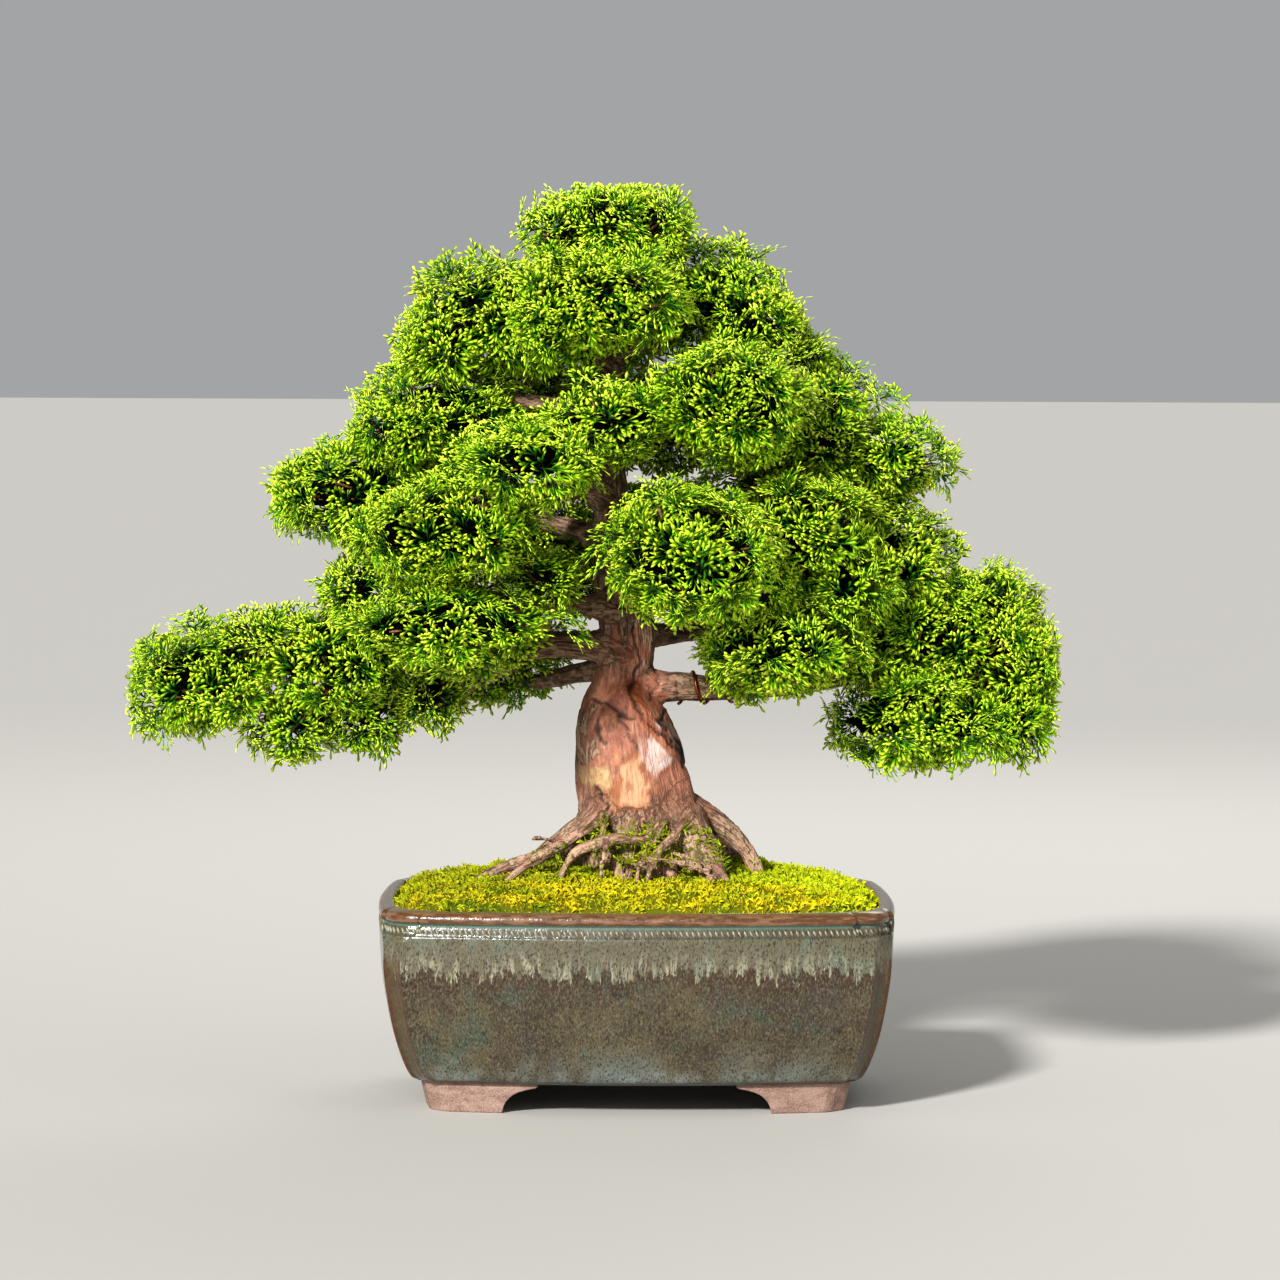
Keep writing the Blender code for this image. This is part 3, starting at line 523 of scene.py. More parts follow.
rings = np.concatenate([foot_plan(z, opened) for z, opened in FOOT_COVE])
faces = ring_triangles(len(FOOT_COVE), len(rings) // len(FOOT_COVE))
feet = make_piece("pot_feet", *joined([(rings * (sx, sy, 1) + (POT_X, 0, 0), faces) for sx in (-1, 1)
                                       for sy in (-1, 1)]), bare_clay, smooth=False)
clay = bmesh.new()
clay.from_mesh(feet.data)
bmesh.ops.recalc_face_normals(clay, faces=clay.faces)
bmesh.ops.dissolve_limit(clay, angle_limit=0.02, verts=clay.verts, edges=clay.edges)
sharp = [edge for edge in clay.edges if edge.is_manifold and edge.calc_face_angle() > FOOT_SHARP]
bmesh.ops.bevel(clay, geom=sharp, offset=FOOT_EDGE * MM, segments=2, profile=0.5, affect="EDGES")
clay.to_mesh(feet.data)
clay.free()
put_in_place(feet, "glazed_stoneware", "pot")

# Drain screens and soil
# A square of black plastic net, dull and open, lies over each drainage hole. Granular soil of fired clay and
# pumice, dry and brown, fills the pot over them and is heaped under the moss.
net, graph, shader = new_finish("black_polyethylene_net", "#15161a", 0.5, IOR=1.51)
# openings of about 3.3 mm
cells = add_node(graph, "TexVoronoi", {"Vector": place_in_mm(graph), "Scale": 0.3})["Distance"]
uneven = add_node(graph, "Bump", {"Height": cells, "Strength": 0.6, "Distance": 0.5 * MM})[0]
graph.links.new(uneven, shader["Normal"])
soil_grains, graph, shader = new_finish("fired_clay_granules", "#4b3626", 0.95)
place = place_in_mm(graph)
# granules of about 3.5 mm
granule = add_node(graph, "TexVoronoi", {"Vector": place, "Scale": 0.28})["Distance"]
graph.links.new(paint(graph, "#4b3626", [
    (0.7, "#7c5a3a", between(graph, granule, 0.7, 0.1)),
    (0.5, "#211812", patches(graph, place, (7, 7, 7), 0.50, 0.62))]), shader["Base Color"])
uneven = add_node(graph, "Bump", {"Height": granule, "Strength": 0.8, "Distance": 1.5 * MM}, invert=True)[0]
graph.links.new(uneven, shader["Normal"])
for name, finish in (("drain_screen_left", net), ("drain_screen_right", net), ("soil", soil_grains)):
    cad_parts[name].data.materials.clear()
    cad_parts[name].data.materials.append(finish)

# Trunk and roots
# One piece of living wood. Thin red-brown bark has peeled off the swollen lower trunk in a long twisted flap
# and left it smooth, orange and pink. Over the neck, the flare and the roots it is grey, split and flaky.

# points along the trunk and each root: X, Y, height and radius
TRUNK = [(38, 6, 84, 26), (38, 6, 112, 40), (38, 5, 150, 48), (38, 4, 176, 52), (37, 3, 192, 49),
         (36, 2, 208, 44.5), (33, 0, 226, 41), (29.5, 0, 246, 38.5), (26.5, 0, 264, 37.4),
         (23.5, 2, 284, 33.5), (21.5, 4, 299, 27), (22.5, 6, 316, 20.5), (25, 6, 342, 19.5),
         (23, 5, 364, 18.5), (18, 4, 389, 16.5), (13, 2, 431, 14), (12.5, 0, 471, 11.5), (13.5, -2, 504, 10),
         (14, -2, 545, 8), (11, -3, 570, 6.5), (9, -4, 592, 5.2), (13, -2, 618, 4.2), (18, 0, 640, 3.2)]
ROOTS = [[(6, -18, 214, 12), (-14, -24, 197, 8), (-40, -24, 184, 5.2), (-66, -23, 175, 4),
          (-88, -21, 163, 3)],
         [(64, -8, 224, 13), (88, -14, 212, 8.5), (109, -18, 197, 6.5), (121, -20, 181, 6),
          (127, -21, 162, 5.5)],
         [(66, -26, 216, 17), (77, -40, 197, 14.5), (86, -52, 181, 12), (93, -58, 163, 9.5)],
         [(6, -34, 216, 6.5), (-16, -44, 199, 4.4), (-38, -50, 187, 3.7), (-54, -54, 178, 3.4),
          (-66, -55, 165, 2.8)],
         [(52, -46, 212, 4), (38, -59, 200, 3.6), (20, -64, 201, 3.8), (2, -66, 197, 3.6),
          (-14, -66, 190, 3.2), (-24, -64, 172, 2.6)],
         [(30, -34, 206, 13), (26, -46, 188, 9), (22, -60, 165, 6)],
         [(50, -36, 206, 13), (54, -48, 186, 9), (56, -60, 163, 6)],
         [(38, 38, 206, 15), (34, 62, 188, 11), (28, 88, 164, 7)],
         [(6, 28, 206, 13), (-22, 46, 188, 9), (-50, 64, 163, 5.5)],
         [(68, 26, 208, 14), (94, 46, 188, 10), (120, 64, 163, 6)]]
# thin rootlets that cross over the moss in front
ROOTLETS = [[(54, -46, 214, 3.0), (48, -58, 201, 2.6), (38, -68, 188, 2.3), (33, -72, 174, 2.0)],
            [(72, -44, 218, 2.6), (62, -58, 205, 2.5), (50, -68, 192, 2.4), (42, -73, 176, 2.0)],
            [(36, -72, 187, 1.7), (54, -74, 186, 1.9), (72, -72, 182, 1.8), (88, -72, 174, 1.5)],
            [(60, -66, 190, 1.5), (80, -68, 184, 1.6), (100, -66, 172, 1.3)],
            [(8, -40, 216, 3.2), (7, -52, 205, 2.6), (5, -60, 195, 2.2)],
            [(10, -68, 199, 1.3), (8, -71, 190, 1.2), (6, -72, 178, 1.0)],
            [(-46, -42, 199, 1.3), (-34, -40, 198, 1.4), (-22, -28, 191, 1.6)],
            [(18, -66, 186, 1.6), (32, -70, 182, 1.9), (48, -73, 180, 1.4)]]
# every root goes on down into the soil by this much and thins by this share
ROOT_END = 14.0
ROOT_END_LOSS = 0.3
ROOT_LUMP = 0.10
TRUNK_SIDES = 72
ROOT_SIDES = 18
LIMB_STEP = 4.0
# waves round the trunk: how many, how far they twist with height, how deep and where they start
FOLDS = [(2, 0.010, 0.035, 0.4), (3, 0.020, 0.045, 1.9), (5, -0.014, 0.03, 0.6), (8, 0.016, 0.016, 2.2)]
# ropes of wood that run round the trunk: height, angle from the right in degrees, height and width of each
MUSCLES = [[(340, -120, 0, 9), (320, -100, 3, 9), (298, -75, 6, 10), (276, -48, 7, 12), (250, -32, 6, 12),
            (226, -26, 5, 14), (200, -24, 2, 16)],
           [(318, -150, 0, 12), (296, -138, 4, 14), (268, -128, 5, 18), (240, -122, 4, 18),
            (212, -118, 0, 16)],
           [(300, 20, 0, 10), (270, 40, 5, 14), (235, 66, 6, 16), (204, 84, 4, 16)],
           [(310, 120, 0, 10), (276, 140, 5, 14), (240, 164, 6, 16), (206, 182, 4, 16)]]
WOOD_VOXEL = 2.0
SMOOTH_ROUNDS = 2
# each limb's grain starts this far beyond the one before, so that no two limbs look alike
ROOT_GRAIN_SHIFT = 500
LIMB_PULL = 0.15
# cracks and torn edges seen from the front: X and height along each, then its depth
CRACKS = [([(30, 361), (30, 350), (35, 333), (29, 316), (30, 306), (38, 289), (53, 273), (59, 267)], 2.0),
          ([(-1, 302), (8, 301), (18, 293), (25, 289), (32, 289)], 1.3),
          ([(5, 289), (3, 278), (8, 270)], 1.2), ([(21, 288), (27, 274), (35, 265)], 1.4),
          ([(62, 274), (67, 266), (68, 252)], 1.5), ([(58, 300), (52, 284), (66, 262), (74, 246)], 1.6),
          ([(2, 236), (10, 224), (6, 212)], 1.3), ([(46, 336), (48, 318), (44, 302)], 1.2)]
# smooth places on the front: middle in X and height, half width and half height
ORANGE_PLACE = (29, 240, 19, 27)
PINK_PLACE = (48, 264, 14, 20)
OLIVE_PLACE = (3, 245, 15, 10)
SMOOTH_PLACE = (26, 286, 32, 66)
PLACE_EDGE = (0.5, 1.15)
PLACE_RAGGED = 0.42
PLACE_FRAYED = 0.22
# from what height the bark has peeled in patches all round, and where it lies whole again
PEELED_FROM = (200, 250)
PEELED_TO = (345, 290)
PEELED_SHARE = 0.8
PEELED_LEVEL = -0.1
# how high the wood's lumps, the bark's ridges and plates and the peeled strip stand
LUMP_RISE = 1.2
RIDGE_RISE = 0.75
BARE_RIDGE_RISE = 0.25
PLATE_RISE = 0.9
FLAP_RISE = 1.2
# how sharp and how ragged the edge of a bark plate is
PLATE_EDGE = (-0.05, 0.12)
PLATE_RAGGED = 0.3
# the peeled strip that winds from the neck to the right
FLAP = [([(30, 312), (34, 298), (42, 284), (52, 272), (60, 262)], 1.0)]
FLAP_WIDTH = 4.6
CRACK_WIDTH = 1.0
CRACK_WANDER = 2.4
CRACK_STEP = 2.0
# cracks and smooth places on the front end where the trunk turns away to the back
CRACK_FACING = 0.1
PLACE_FACING = 0.15
RELIEF_CELLS = 32
# how many points the grain is worked out for at a time, to spare memory
GRAIN_LOT = 4000


def relief(points, size, seed):
    """Soft random relief from -1 to 1, in lumps of the given size along each axis; each use has its seed."""
    lattice = np.random.RandomState(seed).uniform(-1, 1, (RELIEF_CELLS,) * 3)
    spot = points / np.asarray(size, float)
    cell = np.floor(spot).astype(int)
    part = spot - cell
    part = part * part * (3 - 2 * part)
    total = np.zeros(len(points))
    for corner in np.ndindex(2, 2, 2):
        weight = np.prod(np.where(corner, part, 1 - part), axis=1)
        total += weight * lattice[tuple(((cell + corner) % RELIEF_CELLS).T)]
    return total


def frames_along(path):
    """Directions ahead, to the side and over the top at every row of a path, carried on without a twist."""
    ahead = np.gradient(path[:, :3], axis=0)
    ahead /= np.linalg.norm(ahead, axis=1)[:, None]
    side = np.zeros_like(ahead)
    start = np.cross((0, 1, 0), ahead[0]) if abs(ahead[0, 1]) < 0.9 else np.cross((0, 0, 1), ahead[0])
    side[0] = start / np.linalg.norm(start)
    for i in range(1, len(path)):
        side[i] = side[i - 1] - ahead[i] * (side[i - 1] @ ahead[i])
        side[i] /= np.linalg.norm(side[i])
    return ahead, side, np.cross(ahead, side)


def limb(path, sides, swell=1.0):
    """Points and triangles of a tapered limb along rows of x, y, z and radius, swollen as each row asks."""
    ahead, side, over = frames_along(path)
    turn = np.linspace(0, 2 * math.pi, sides, endpoint=False)[:, None]
    radius = np.broadcast_to(path[:, 3:4] * swell, (len(path), sides))[..., None]
    away = np.cos(turn) * side[:, None] + np.sin(turn) * over[:, None]
    return (path[:, None, :3] + radius * away).reshape(-1, 3), ring_triangles(len(path), sides)


def trunk_swell(path):
    """How much thicker or thinner the trunk is at each row, round its folds and muscles."""
    turn = np.linspace(0, 2 * math.pi, TRUNK_SIDES, endpoint=False)
    z = path[:, 2:3]
    swell = 1 + sum(deep * np.cos(count * (turn - twist * z) + start) for count, twist, deep, start in FOLDS)
    for muscle in MUSCLES:
        muscle = np.array(muscle[::-1], float)
        angle, tall, wide = [np.interp(z[:, 0], muscle[:, 0], muscle[:, i])[:, None] for i in (1, 2, 3)]
        apart = (turn - np.radians(angle) + math.pi) % (2 * math.pi) - math.pi
        tall = tall * ((z > muscle[0, 0]) & (z < muscle[-1, 0]))
        swell = swell + tall / path[:, 3:4] * np.exp(-(apart * path[:, 3:4] / wide) ** 2)
    return swell


def grain_along(points, paths):
    """Each point's place in the grain: across, over and along the limb it lies nearest to."""
    axis = np.concatenate(paths)
    ahead, side, over = [np.concatenate(part) for part in zip(*map(frames_along, paths))]
    run = np.concatenate([run_along(path[:, :3]) + ROOT_GRAIN_SHIFT * i for i, path in enumerate(paths)])
    grain = np.zeros_like(points)
    for start in range(0, len(points), GRAIN_LOT):
        part = points[start:start + GRAIN_LOT]
        gap = np.linalg.norm(part[:, None] - axis[None, :, :3], axis=2) - axis[:, 3]
        near = np.argmin(np.abs(gap) + LIMB_PULL * axis[:, 3], axis=1)
        off = part - axis[near, :3]
        grain[start:start + GRAIN_LOT] = np.stack([(off * side[near]).sum(1), (off * over[near]).sum(1),
                                                   run[near] + (off * ahead[near]).sum(1)], -1)
    return grain


def line_depth(points, normals, lines, width):
    """How deep each point lies in lines on the front, such as cracks, from none to each line's full depth."""
    depth = np.zeros(len(points))
    wander = np.stack([relief(points, (6, 6, 6), 31), relief(points, (6, 6, 6), 32)], -1)
    wander = points[:, 0::2] + CRACK_WANDER * wander
    for line, deep in lines:
        line = along_table(line, CRACK_STEP)
        gap = np.full(len(points), np.inf)
        for a, b in zip(line[:-1], line[1:]):
            share = np.clip(((wander - a) @ (b - a)) / max((b - a) @ (b - a), 1e-6), 0, 1)[:, None]
            gap = np.minimum(gap, np.linalg.norm(wander - a - share * (b - a), axis=1))
        depth = np.maximum(depth, deep * np.exp(-(gap / width) ** 2) * (normals[:, 1] < CRACK_FACING))
    return depth


def patch_share(points, normals, middle_x, middle_z, half_x, half_z):
    """How far each point lies inside a smooth place on the front, with a ragged edge."""
    off = np.hypot((points[:, 0] - middle_x) / half_x, (points[:, 2] - middle_z) / half_z)
    off += PLACE_RAGGED * relief(points, (8, 8, 13), 33) + PLACE_FRAYED * relief(points, (3.2, 3.2, 6), 34)
    return (1 - smooth_step(*PLACE_EDGE, off)) * (normals[:, 1] < PLACE_FACING)


# Cypress bark: fibres and thin flakes that follow the grain, red-brown where it is fresh and grey where it
# is old. The smooth places have a slight sheen, and everything else is dry.
bark, graph, shader = new_finish("peeling_cypress_bark", "#6e4d3c", 0.75)
grain = add_node(graph, "Attribute", attribute_name="grain")["Vector"]
bare, wear = values_on(graph, "bare_wood"), values_on(graph, "bark_wear")
place = place_in_mm(graph)
fibres = patches(graph, grain, (2.2, 2.2, 16), 0.36, 0.64, 4.0)
splits = patches(graph, grain, (3.6, 3.6, 30), 0.52, 0.62, 3.0)
flakes = patches(graph, grain, (7, 7, 12), 0.46, 0.56, 5.0)
mottle = patches(graph, place, (15, 15, 20), 0.36, 0.64)
smooth, flaky, crack = wear["X"], wear["Y"], wear["Z"]
high = add_node(graph, "SeparateXYZ", {0: place})["Z"]
flap = add_node(graph, "Attribute", attribute_name="flap")["Fac"]
bark_colour = paint(graph, "#5f412d", [
    (0.8, "#b8937a", fibres),
    (0.5, "#bda085", flakes, flaky),
    (0.45, "#4a3020", patches(graph, place, (10, 10, 10), 0.52, 0.66)),
    (0.35, "#77733f", patches(graph, place, (14, 14, 18), 0.56, 0.70), flaky),
    (0.85, "#8c4b35", smooth),
    (0.7, "#bd8064", smooth, mottle),
    (0.45, "#4f281c", smooth, patches(graph, grain, (4, 4, 26), 0.48, 0.62)),
    (0.85, "#ac6d49", between(graph, bare["X"], 0.1, 0.7)),
    (0.75, "#d9ae86", between(graph, bare["X"], 0.35, 1.0), patches(graph, place, (7, 7, 22), 0.38, 0.58)),
    (0.6, "#b98a78", between(graph, bare["Y"], 0.04, 0.5)),
    (0.9, "#dcc2b8", between(graph, bare["Y"], 0.1, 0.8), patches(graph, place, (5, 5, 17), 0.34, 0.54)),
    (0.5, "#8f6152", between(graph, bare["Y"], 0.1, 0.5), patches(graph, place, (4, 4, 22), 0.56, 0.66)),
    (0.8, "#a6865a", between(graph, bare["Z"], 0.2, 0.7)),
    (0.5, "#cbaf7e", between(graph, bare["Z"], 0.4, 0.9), patches(graph, place, (6, 6, 6), 0.45, 0.60)),
    (0.7, "#cdaa8c", between(graph, high, 214, 196), mottle),
    (0.5, "#c18a78", between(graph, high, 216, 200), patches(graph, place, (11, 11, 11), 0.5, 0.62)),
    (0.5, "#77733f", between(graph, high, 226, 205), patches(graph, place, (8, 8, 8), 0.56, 0.64)),
    (0.8, "#8e451f", between(graph, flap, 0.25, 0.6)),
    (0.5, "#c07a4a", between(graph, flap, 0.5, 0.95), fibres),
    (0.75, "#2c1a10", splits, flaky),
    (0.6, "#34211a", between(graph, flakes, 0.1, 0.4, 0.6, 0.9), flaky),
    (0.85, "#22130c", crack)])
graph.links.new(bark_colour, shader["Base Color"])
dull = add_node(graph, "MapRange", {"Value": smooth, "To Min": 0.82, "To Max": 0.5})[0]
graph.links.new(dull, shader["Roughness"])
rough = add_node(graph, "MapRange", {"Value": smooth, "To Min": 1.0, "To Max": 0.5})[0]
rough = add_node(graph, "Math", {0: fibres, 1: rough}, operation="MULTIPLY")[0]
rough = add_node(graph, "Math", {0: flakes, 1: flaky, 2: rough}, operation="MULTIPLY_ADD")[0]
uneven = add_node(graph, "Bump", {"Height": rough, "Strength": 0.7, "Distance": 1.4 * MM})[0]
graph.links.new(uneven, shader["Normal"])

trunk_path = along_table(TRUNK, LIMB_STEP)
root_paths = []
for root in ROOTS + ROOTLETS:
    root = np.array(root, float)
    end = root[-1] + (0, 0, -ROOT_END, -root[-1, 3] * ROOT_END_LOSS)
    root_paths.append(along_table(np.vstack([root, end]), LIMB_STEP))

# each branch leaves the trunk in a thickened collar, which is one piece with it
# points along each branch up to its foliage: X, Y, height and radius
BRANCHES = {
    "left_low_outer": [(22, 4, 338, 12), (-2, 2, 342, 11), (-45, -3, 341, 9.5), (-87, -12, 319, 8),
                       (-148, -15, 304, 7), (-204, -15, 294, 6), (-250, -20, 299, 5)],
    "left_low_inner": [(-76, -10, 325, 5), (-84, -8, 334, 4)],
    "left_low_mid": [(-186, -15, 297, 5), (-192, -15, 310, 4)],
    "far_right_upper": [(28, 6, 310, 13), (66, 1, 311, 11), (96, -3, 310, 9), (157, -9, 314, 7.5),
                        (212, -7, 325, 6.5)],
    "right_low_front": [(118, -4, 311, 7), (122, -50, 328, 6)],
    "far_right_low": [(200, -8, 323, 5.5), (228, -22, 311, 4.5)],
    "left_low_back": [(22, 8, 328, 11), (-8, 50, 319, 8), (-48, 94, 309, 6)],
    "right_low_back": [(24, 8, 348, 11), (70, 56, 350, 8), (118, 98, 355, 6)],
    "left_low_front": [(20, 0, 372, 10), (-18, -30, 374, 7.5), (-64, -66, 375, 6)],
    "right_outer": [(20, 4, 372, 11), (80, 7, 386, 8.5), (150, 7, 401, 6.5)],
    "right_front": [(20, 0, 382, 10), (36, -50, 398, 7.5), (55, -98, 411, 6)],
    "right_mid": [(34, -45, 396, 6), (92, -55, 413, 5)],
    "mid_back": [(17, 6, 392, 9), (24, 70, 401, 7)],
    "right_tip": [(14, 2, 418, 9), (50, 8, 431, 8), (100, 12, 449, 7), (160, 14, 467, 6)],
    "right_mid_back": [(54, 9, 433, 6), (102, 70, 451, 5)],
    "left_mid_back": [(13, 2, 424, 9), (-40, 50, 435, 7), (-90, 94, 442, 5)],
    "left_mid_inner": [(12, 0, 455, 9.5), (-8, -8, 463, 9), (-40, -25, 459, 7.5), (-75, -56, 451, 6)],
    "left_mid_outer": [(-54, -37, 456, 6), (-96, -24, 452, 5.5), (-140, -13, 456, 5)],
    "left_centre_front": [(13, -2, 480, 7), (-10, -50, 483, 5.5), (-29, -92, 489, 4.5)],
    "upper_right": [(13, -1, 500, 8), (60, 4, 509, 6.5), (100, 8, 521, 5.5)],
    "upper_right_front": [(56, 3, 508, 5.5), (84, -46, 523, 4.5)],
    "centre_front": [(14, -4, 505, 7), (13, -44, 513, 5)],
    "upper_back": [(14, 0, 510, 7.5), (12, 62, 516, 5.5)],
    "upper_left": [(14, -2, 516, 7.5), (-40, -2, 527, 6), (-78, 0, 529, 5)],
    "crown_right": [(12, -3, 562, 6.5), (35, 0, 572, 6), (56, 3, 576, 5.5), (80, 6, 592, 4.5)],
    "crown_left": [(12, -2, 556, 6), (-15, -2, 570, 5.2), (-55, 2, 583, 4.6)],
    "crown_front": [(10, -4, 582, 5), (7, -38, 596, 4.2)],
    "crown_back": [(10, -3, 588, 5), (17, 42, 600, 4.2)]}
# middle and half sizes of the cushion of foliage on each branch
CUSHIONS = {
    "apex": (16, 0, 654, 58, 60, 40), "crown_front": (2, -84, 606, 68, 50, 42),
    "crown_right": (96, 8, 606, 56, 66, 48), "crown_left": (-84, 3, 592, 62, 68, 50),
    "crown_back": (22, 92, 604, 76, 54, 46),
    "upper_right": (140, 14, 530, 82, 68, 50), "upper_right_front": (104, -98, 532, 62, 56, 46),
    "upper_left": (-114, 4, 520, 72, 74, 42), "centre_front": (8, -90, 516, 54, 50, 32),
    "left_centre_front": (-50, -134, 486, 56, 60, 34), "upper_back": (2, 134, 520, 82, 72, 46),
    "left_mid_outer": (-184, -6, 462, 58, 74, 42), "left_mid_inner": (-112, -104, 436, 70, 74, 44),
    "left_mid_back": (-126, 134, 442, 80, 72, 48), "right_tip": (222, 16, 486, 56, 56, 34),
    "right_front": (70, -152, 420, 68, 82, 54), "right_mid": (158, -64, 428, 62, 76, 50),
    "right_outer": (226, 12, 412, 58, 62, 40), "mid_back": (40, 160, 416, 80, 74, 48),
    "right_mid_back": (162, 126, 466, 72, 72, 50), "left_low_front": (-106, -94, 364, 82, 72, 36),
    "left_low_inner": (-97, -4, 357, 58, 44, 34), "left_low_mid": (-197, -16, 336, 68, 64, 46),
    "left_low_outer": (-292, -25, 322, 62, 56, 43), "left_low_back": (-84, 120, 330, 66, 66, 44),
    "right_low_front": (138, -104, 352, 68, 70, 38), "far_right_upper": (272, 2, 352, 84, 70, 52),
    "far_right_low": (248, -52, 294, 78, 58, 42), "right_low_back": (164, 132, 362, 76, 70, 46)}
BRANCH_SEAT = 0.4
BRANCH_END = 3.2
COLLAR_REACH = 26.0
COLLAR_FLARE = 1.5
# where its flare ends, a collar is thinner than its branch by this share and hides in it
COLLAR_SINK = 0.04

branch_paths, collars = {}, []
for name, path in BRANCHES.items():
    cushion = np.array(CUSHIONS[name], float)
    back = path[-1][:3] - cushion[:3]
    seat = cushion[:3] + back * BRANCH_SEAT / np.linalg.norm(back / cushion[3:])
    branch_paths[name] = along_table(path + [(*seat, BRANCH_END)], LIMB_STEP)
    run = np.linalg.norm(branch_paths[name][:, :3] - path[0][:3], axis=1)
    near = branch_paths[name][run < COLLAR_REACH + path[0][3]].copy()
    flare = (1 - smooth_step(0, 1, run[:len(near)] / run[len(near) - 1])) ** 2
    near[:, 3] *= 1 + (COLLAR_FLARE - 1) * flare - COLLAR_SINK
    collars.append(near)

# the trunk, roots and collars are laid up as tapered limbs, fused, and then worked over with bark relief
limbs = [limb(trunk_path, TRUNK_SIDES, trunk_swell(trunk_path))]
for i, path in enumerate(root_paths + collars):
    lumpy = 1 + ROOT_LUMP * relief(path[:, :3], (14, 14, 14), 40 + i)[:, None]
    limbs.append(limb(path, ROOT_SIDES, lumpy))
rough_wood = make_piece("rough_wood", *joined(limbs), None)
fuse = rough_wood.modifiers.new("fuse", "REMESH")
fuse.mode = "VOXEL"
fuse.voxel_size = WOOD_VOXEL * MM
wood_mesh = bpy.data.meshes.new_from_object(rough_wood.evaluated_get(bpy.context.evaluated_depsgraph_get()))
bpy.data.objects.remove(rough_wood)
wood = bmesh.new()
wood.from_mesh(wood_mesh)
for _ in range(SMOOTH_ROUNDS):
    bmesh.ops.smooth_vert(wood, verts=wood.verts, factor=0.5,
                          use_axis_x=True, use_axis_y=True, use_axis_z=True)
bmesh.ops.triangulate(wood, faces=wood.faces)
wood.to_mesh(wood_mesh)
wood.free()
wood_points, wood_normals = np.empty((2, len(wood_mesh.vertices) * 3))
wood_mesh.vertices.foreach_get("co", wood_points)
wood_mesh.vertices.foreach_get("normal", wood_normals)
wood_points, wood_normals = wood_points.reshape(-1, 3) / MM, wood_normals.reshape(-1, 3)
triangles = np.empty(len(wood_mesh.loops), int)
wood_mesh.loops.foreach_get("vertex_index", triangles)

grain = grain_along(wood_points, [trunk_path] + root_paths + collars)
bare_places = [patch_share(wood_points, wood_normals, *middle)
               for middle in (ORANGE_PLACE, PINK_PLACE, OLIVE_PLACE, SMOOTH_PLACE)]
height = wood_points[:, 2]
peeled = PEELED_SHARE * smooth_step(*PEELED_FROM, height) * smooth_step(*PEELED_TO, height)
peeled = peeled * (relief(wood_points, (22, 22, 40), 35) > PEELED_LEVEL)
peeled = np.maximum.reduce(bare_places + [peeled])
kept = 1 - peeled
cracks = line_depth(wood_points, wood_normals, CRACKS, CRACK_WIDTH)
flap = line_depth(wood_points, wood_normals, FLAP, FLAP_WIDTH)
ridges = 1 - 2 * np.abs(relief(grain, (5, 5, 34), 36))
plates = relief(grain, (9, 9, 20), 37) + PLATE_RAGGED * relief(grain, (3, 3, 5), 38)
plates = smooth_step(*PLATE_EDGE, plates)
lumps = relief(wood_points, (24, 24, 24), 39)
rise = (LUMP_RISE * lumps + kept * (RIDGE_RISE * ridges + PLATE_RISE * plates)
        + peeled * BARE_RIDGE_RISE * ridges)
wood_points += wood_normals * (rise + FLAP_RISE * flap - cracks)[:, None]
trunk = make_piece("trunk_and_roots", wood_points, triangles.reshape(-1, 3), bark,
                   {"grain": grain, "bare_wood": np.stack(bare_places[:3], -1),
                    "bark_wear": np.stack([peeled, kept, np.clip(cracks, 0, 1)], -1), "flap": flap})
put_in_place(trunk, "bark", "tree")

# Branches
# Each branch runs on from its collar and thins toward its foliage, where it forks into twigs. The same bark
# as on the upper trunk, old and flaky.
BRANCH_SIDES = 14
BRANCH_LUMP = 0.5
BRANCH_FLAKE = 0.35
BRANCH_GRAIN_SHIFT = 700

limbs, grains = [], []
turn = np.linspace(0, 2 * math.pi, BRANCH_SIDES, endpoint=False)
circle = np.stack([np.cos(turn), np.sin(turn)], -1)
for i, path in enumerate(branch_paths.values(), 1):
    fine = along_table(path, LIMB_STEP)
    run = run_along(fine[:, :3]) + BRANCH_GRAIN_SHIFT * i
    grain = np.column_stack([(circle * fine[:, None, 3:4]).reshape(-1, 2), np.repeat(run, BRANCH_SIDES)])
    bumps = BRANCH_LUMP * relief(grain, (5, 5, 12), 50) + BRANCH_FLAKE * relief(grain, (2.5, 2.5, 5), 51)
    limbs.append(limb(fine, BRANCH_SIDES, 1 + bumps.reshape(len(fine), -1) / fine[:, 3:4]))
    grains.append(grain)
points, triangles = joined(limbs)
branches = make_piece("branches", points, triangles, bark,
                      {"grain": np.concatenate(grains), "bare_wood": np.zeros_like(points),
                       "bark_wear": np.tile((0.0, 1.0, 0.0), (len(points), 1))})
put_in_place(branches, "bark", "tree")

# Training wires
# Soft aluminium wire, wound by hand round four branches to hold their bend. It is anodised copper brown,
# with a satin gleam that is paler where the pliers scuffed it.

# on each branch: the shares of its length where the wire starts and ends, and its turns
WIRES = {"left_mid_inner": (0.04, 0.72, 2), "left_low_outer": (0.42, 0.78, 4),
         "far_right_upper": (0.2, 0.42, 2), "right_tip": (0.62, 0.9, 3)}
WIRE_RADIUS = 1.25
WIRE_CLEARANCE = 0.4
TURN_STEPS = 26
WIRE_SIDES = 10

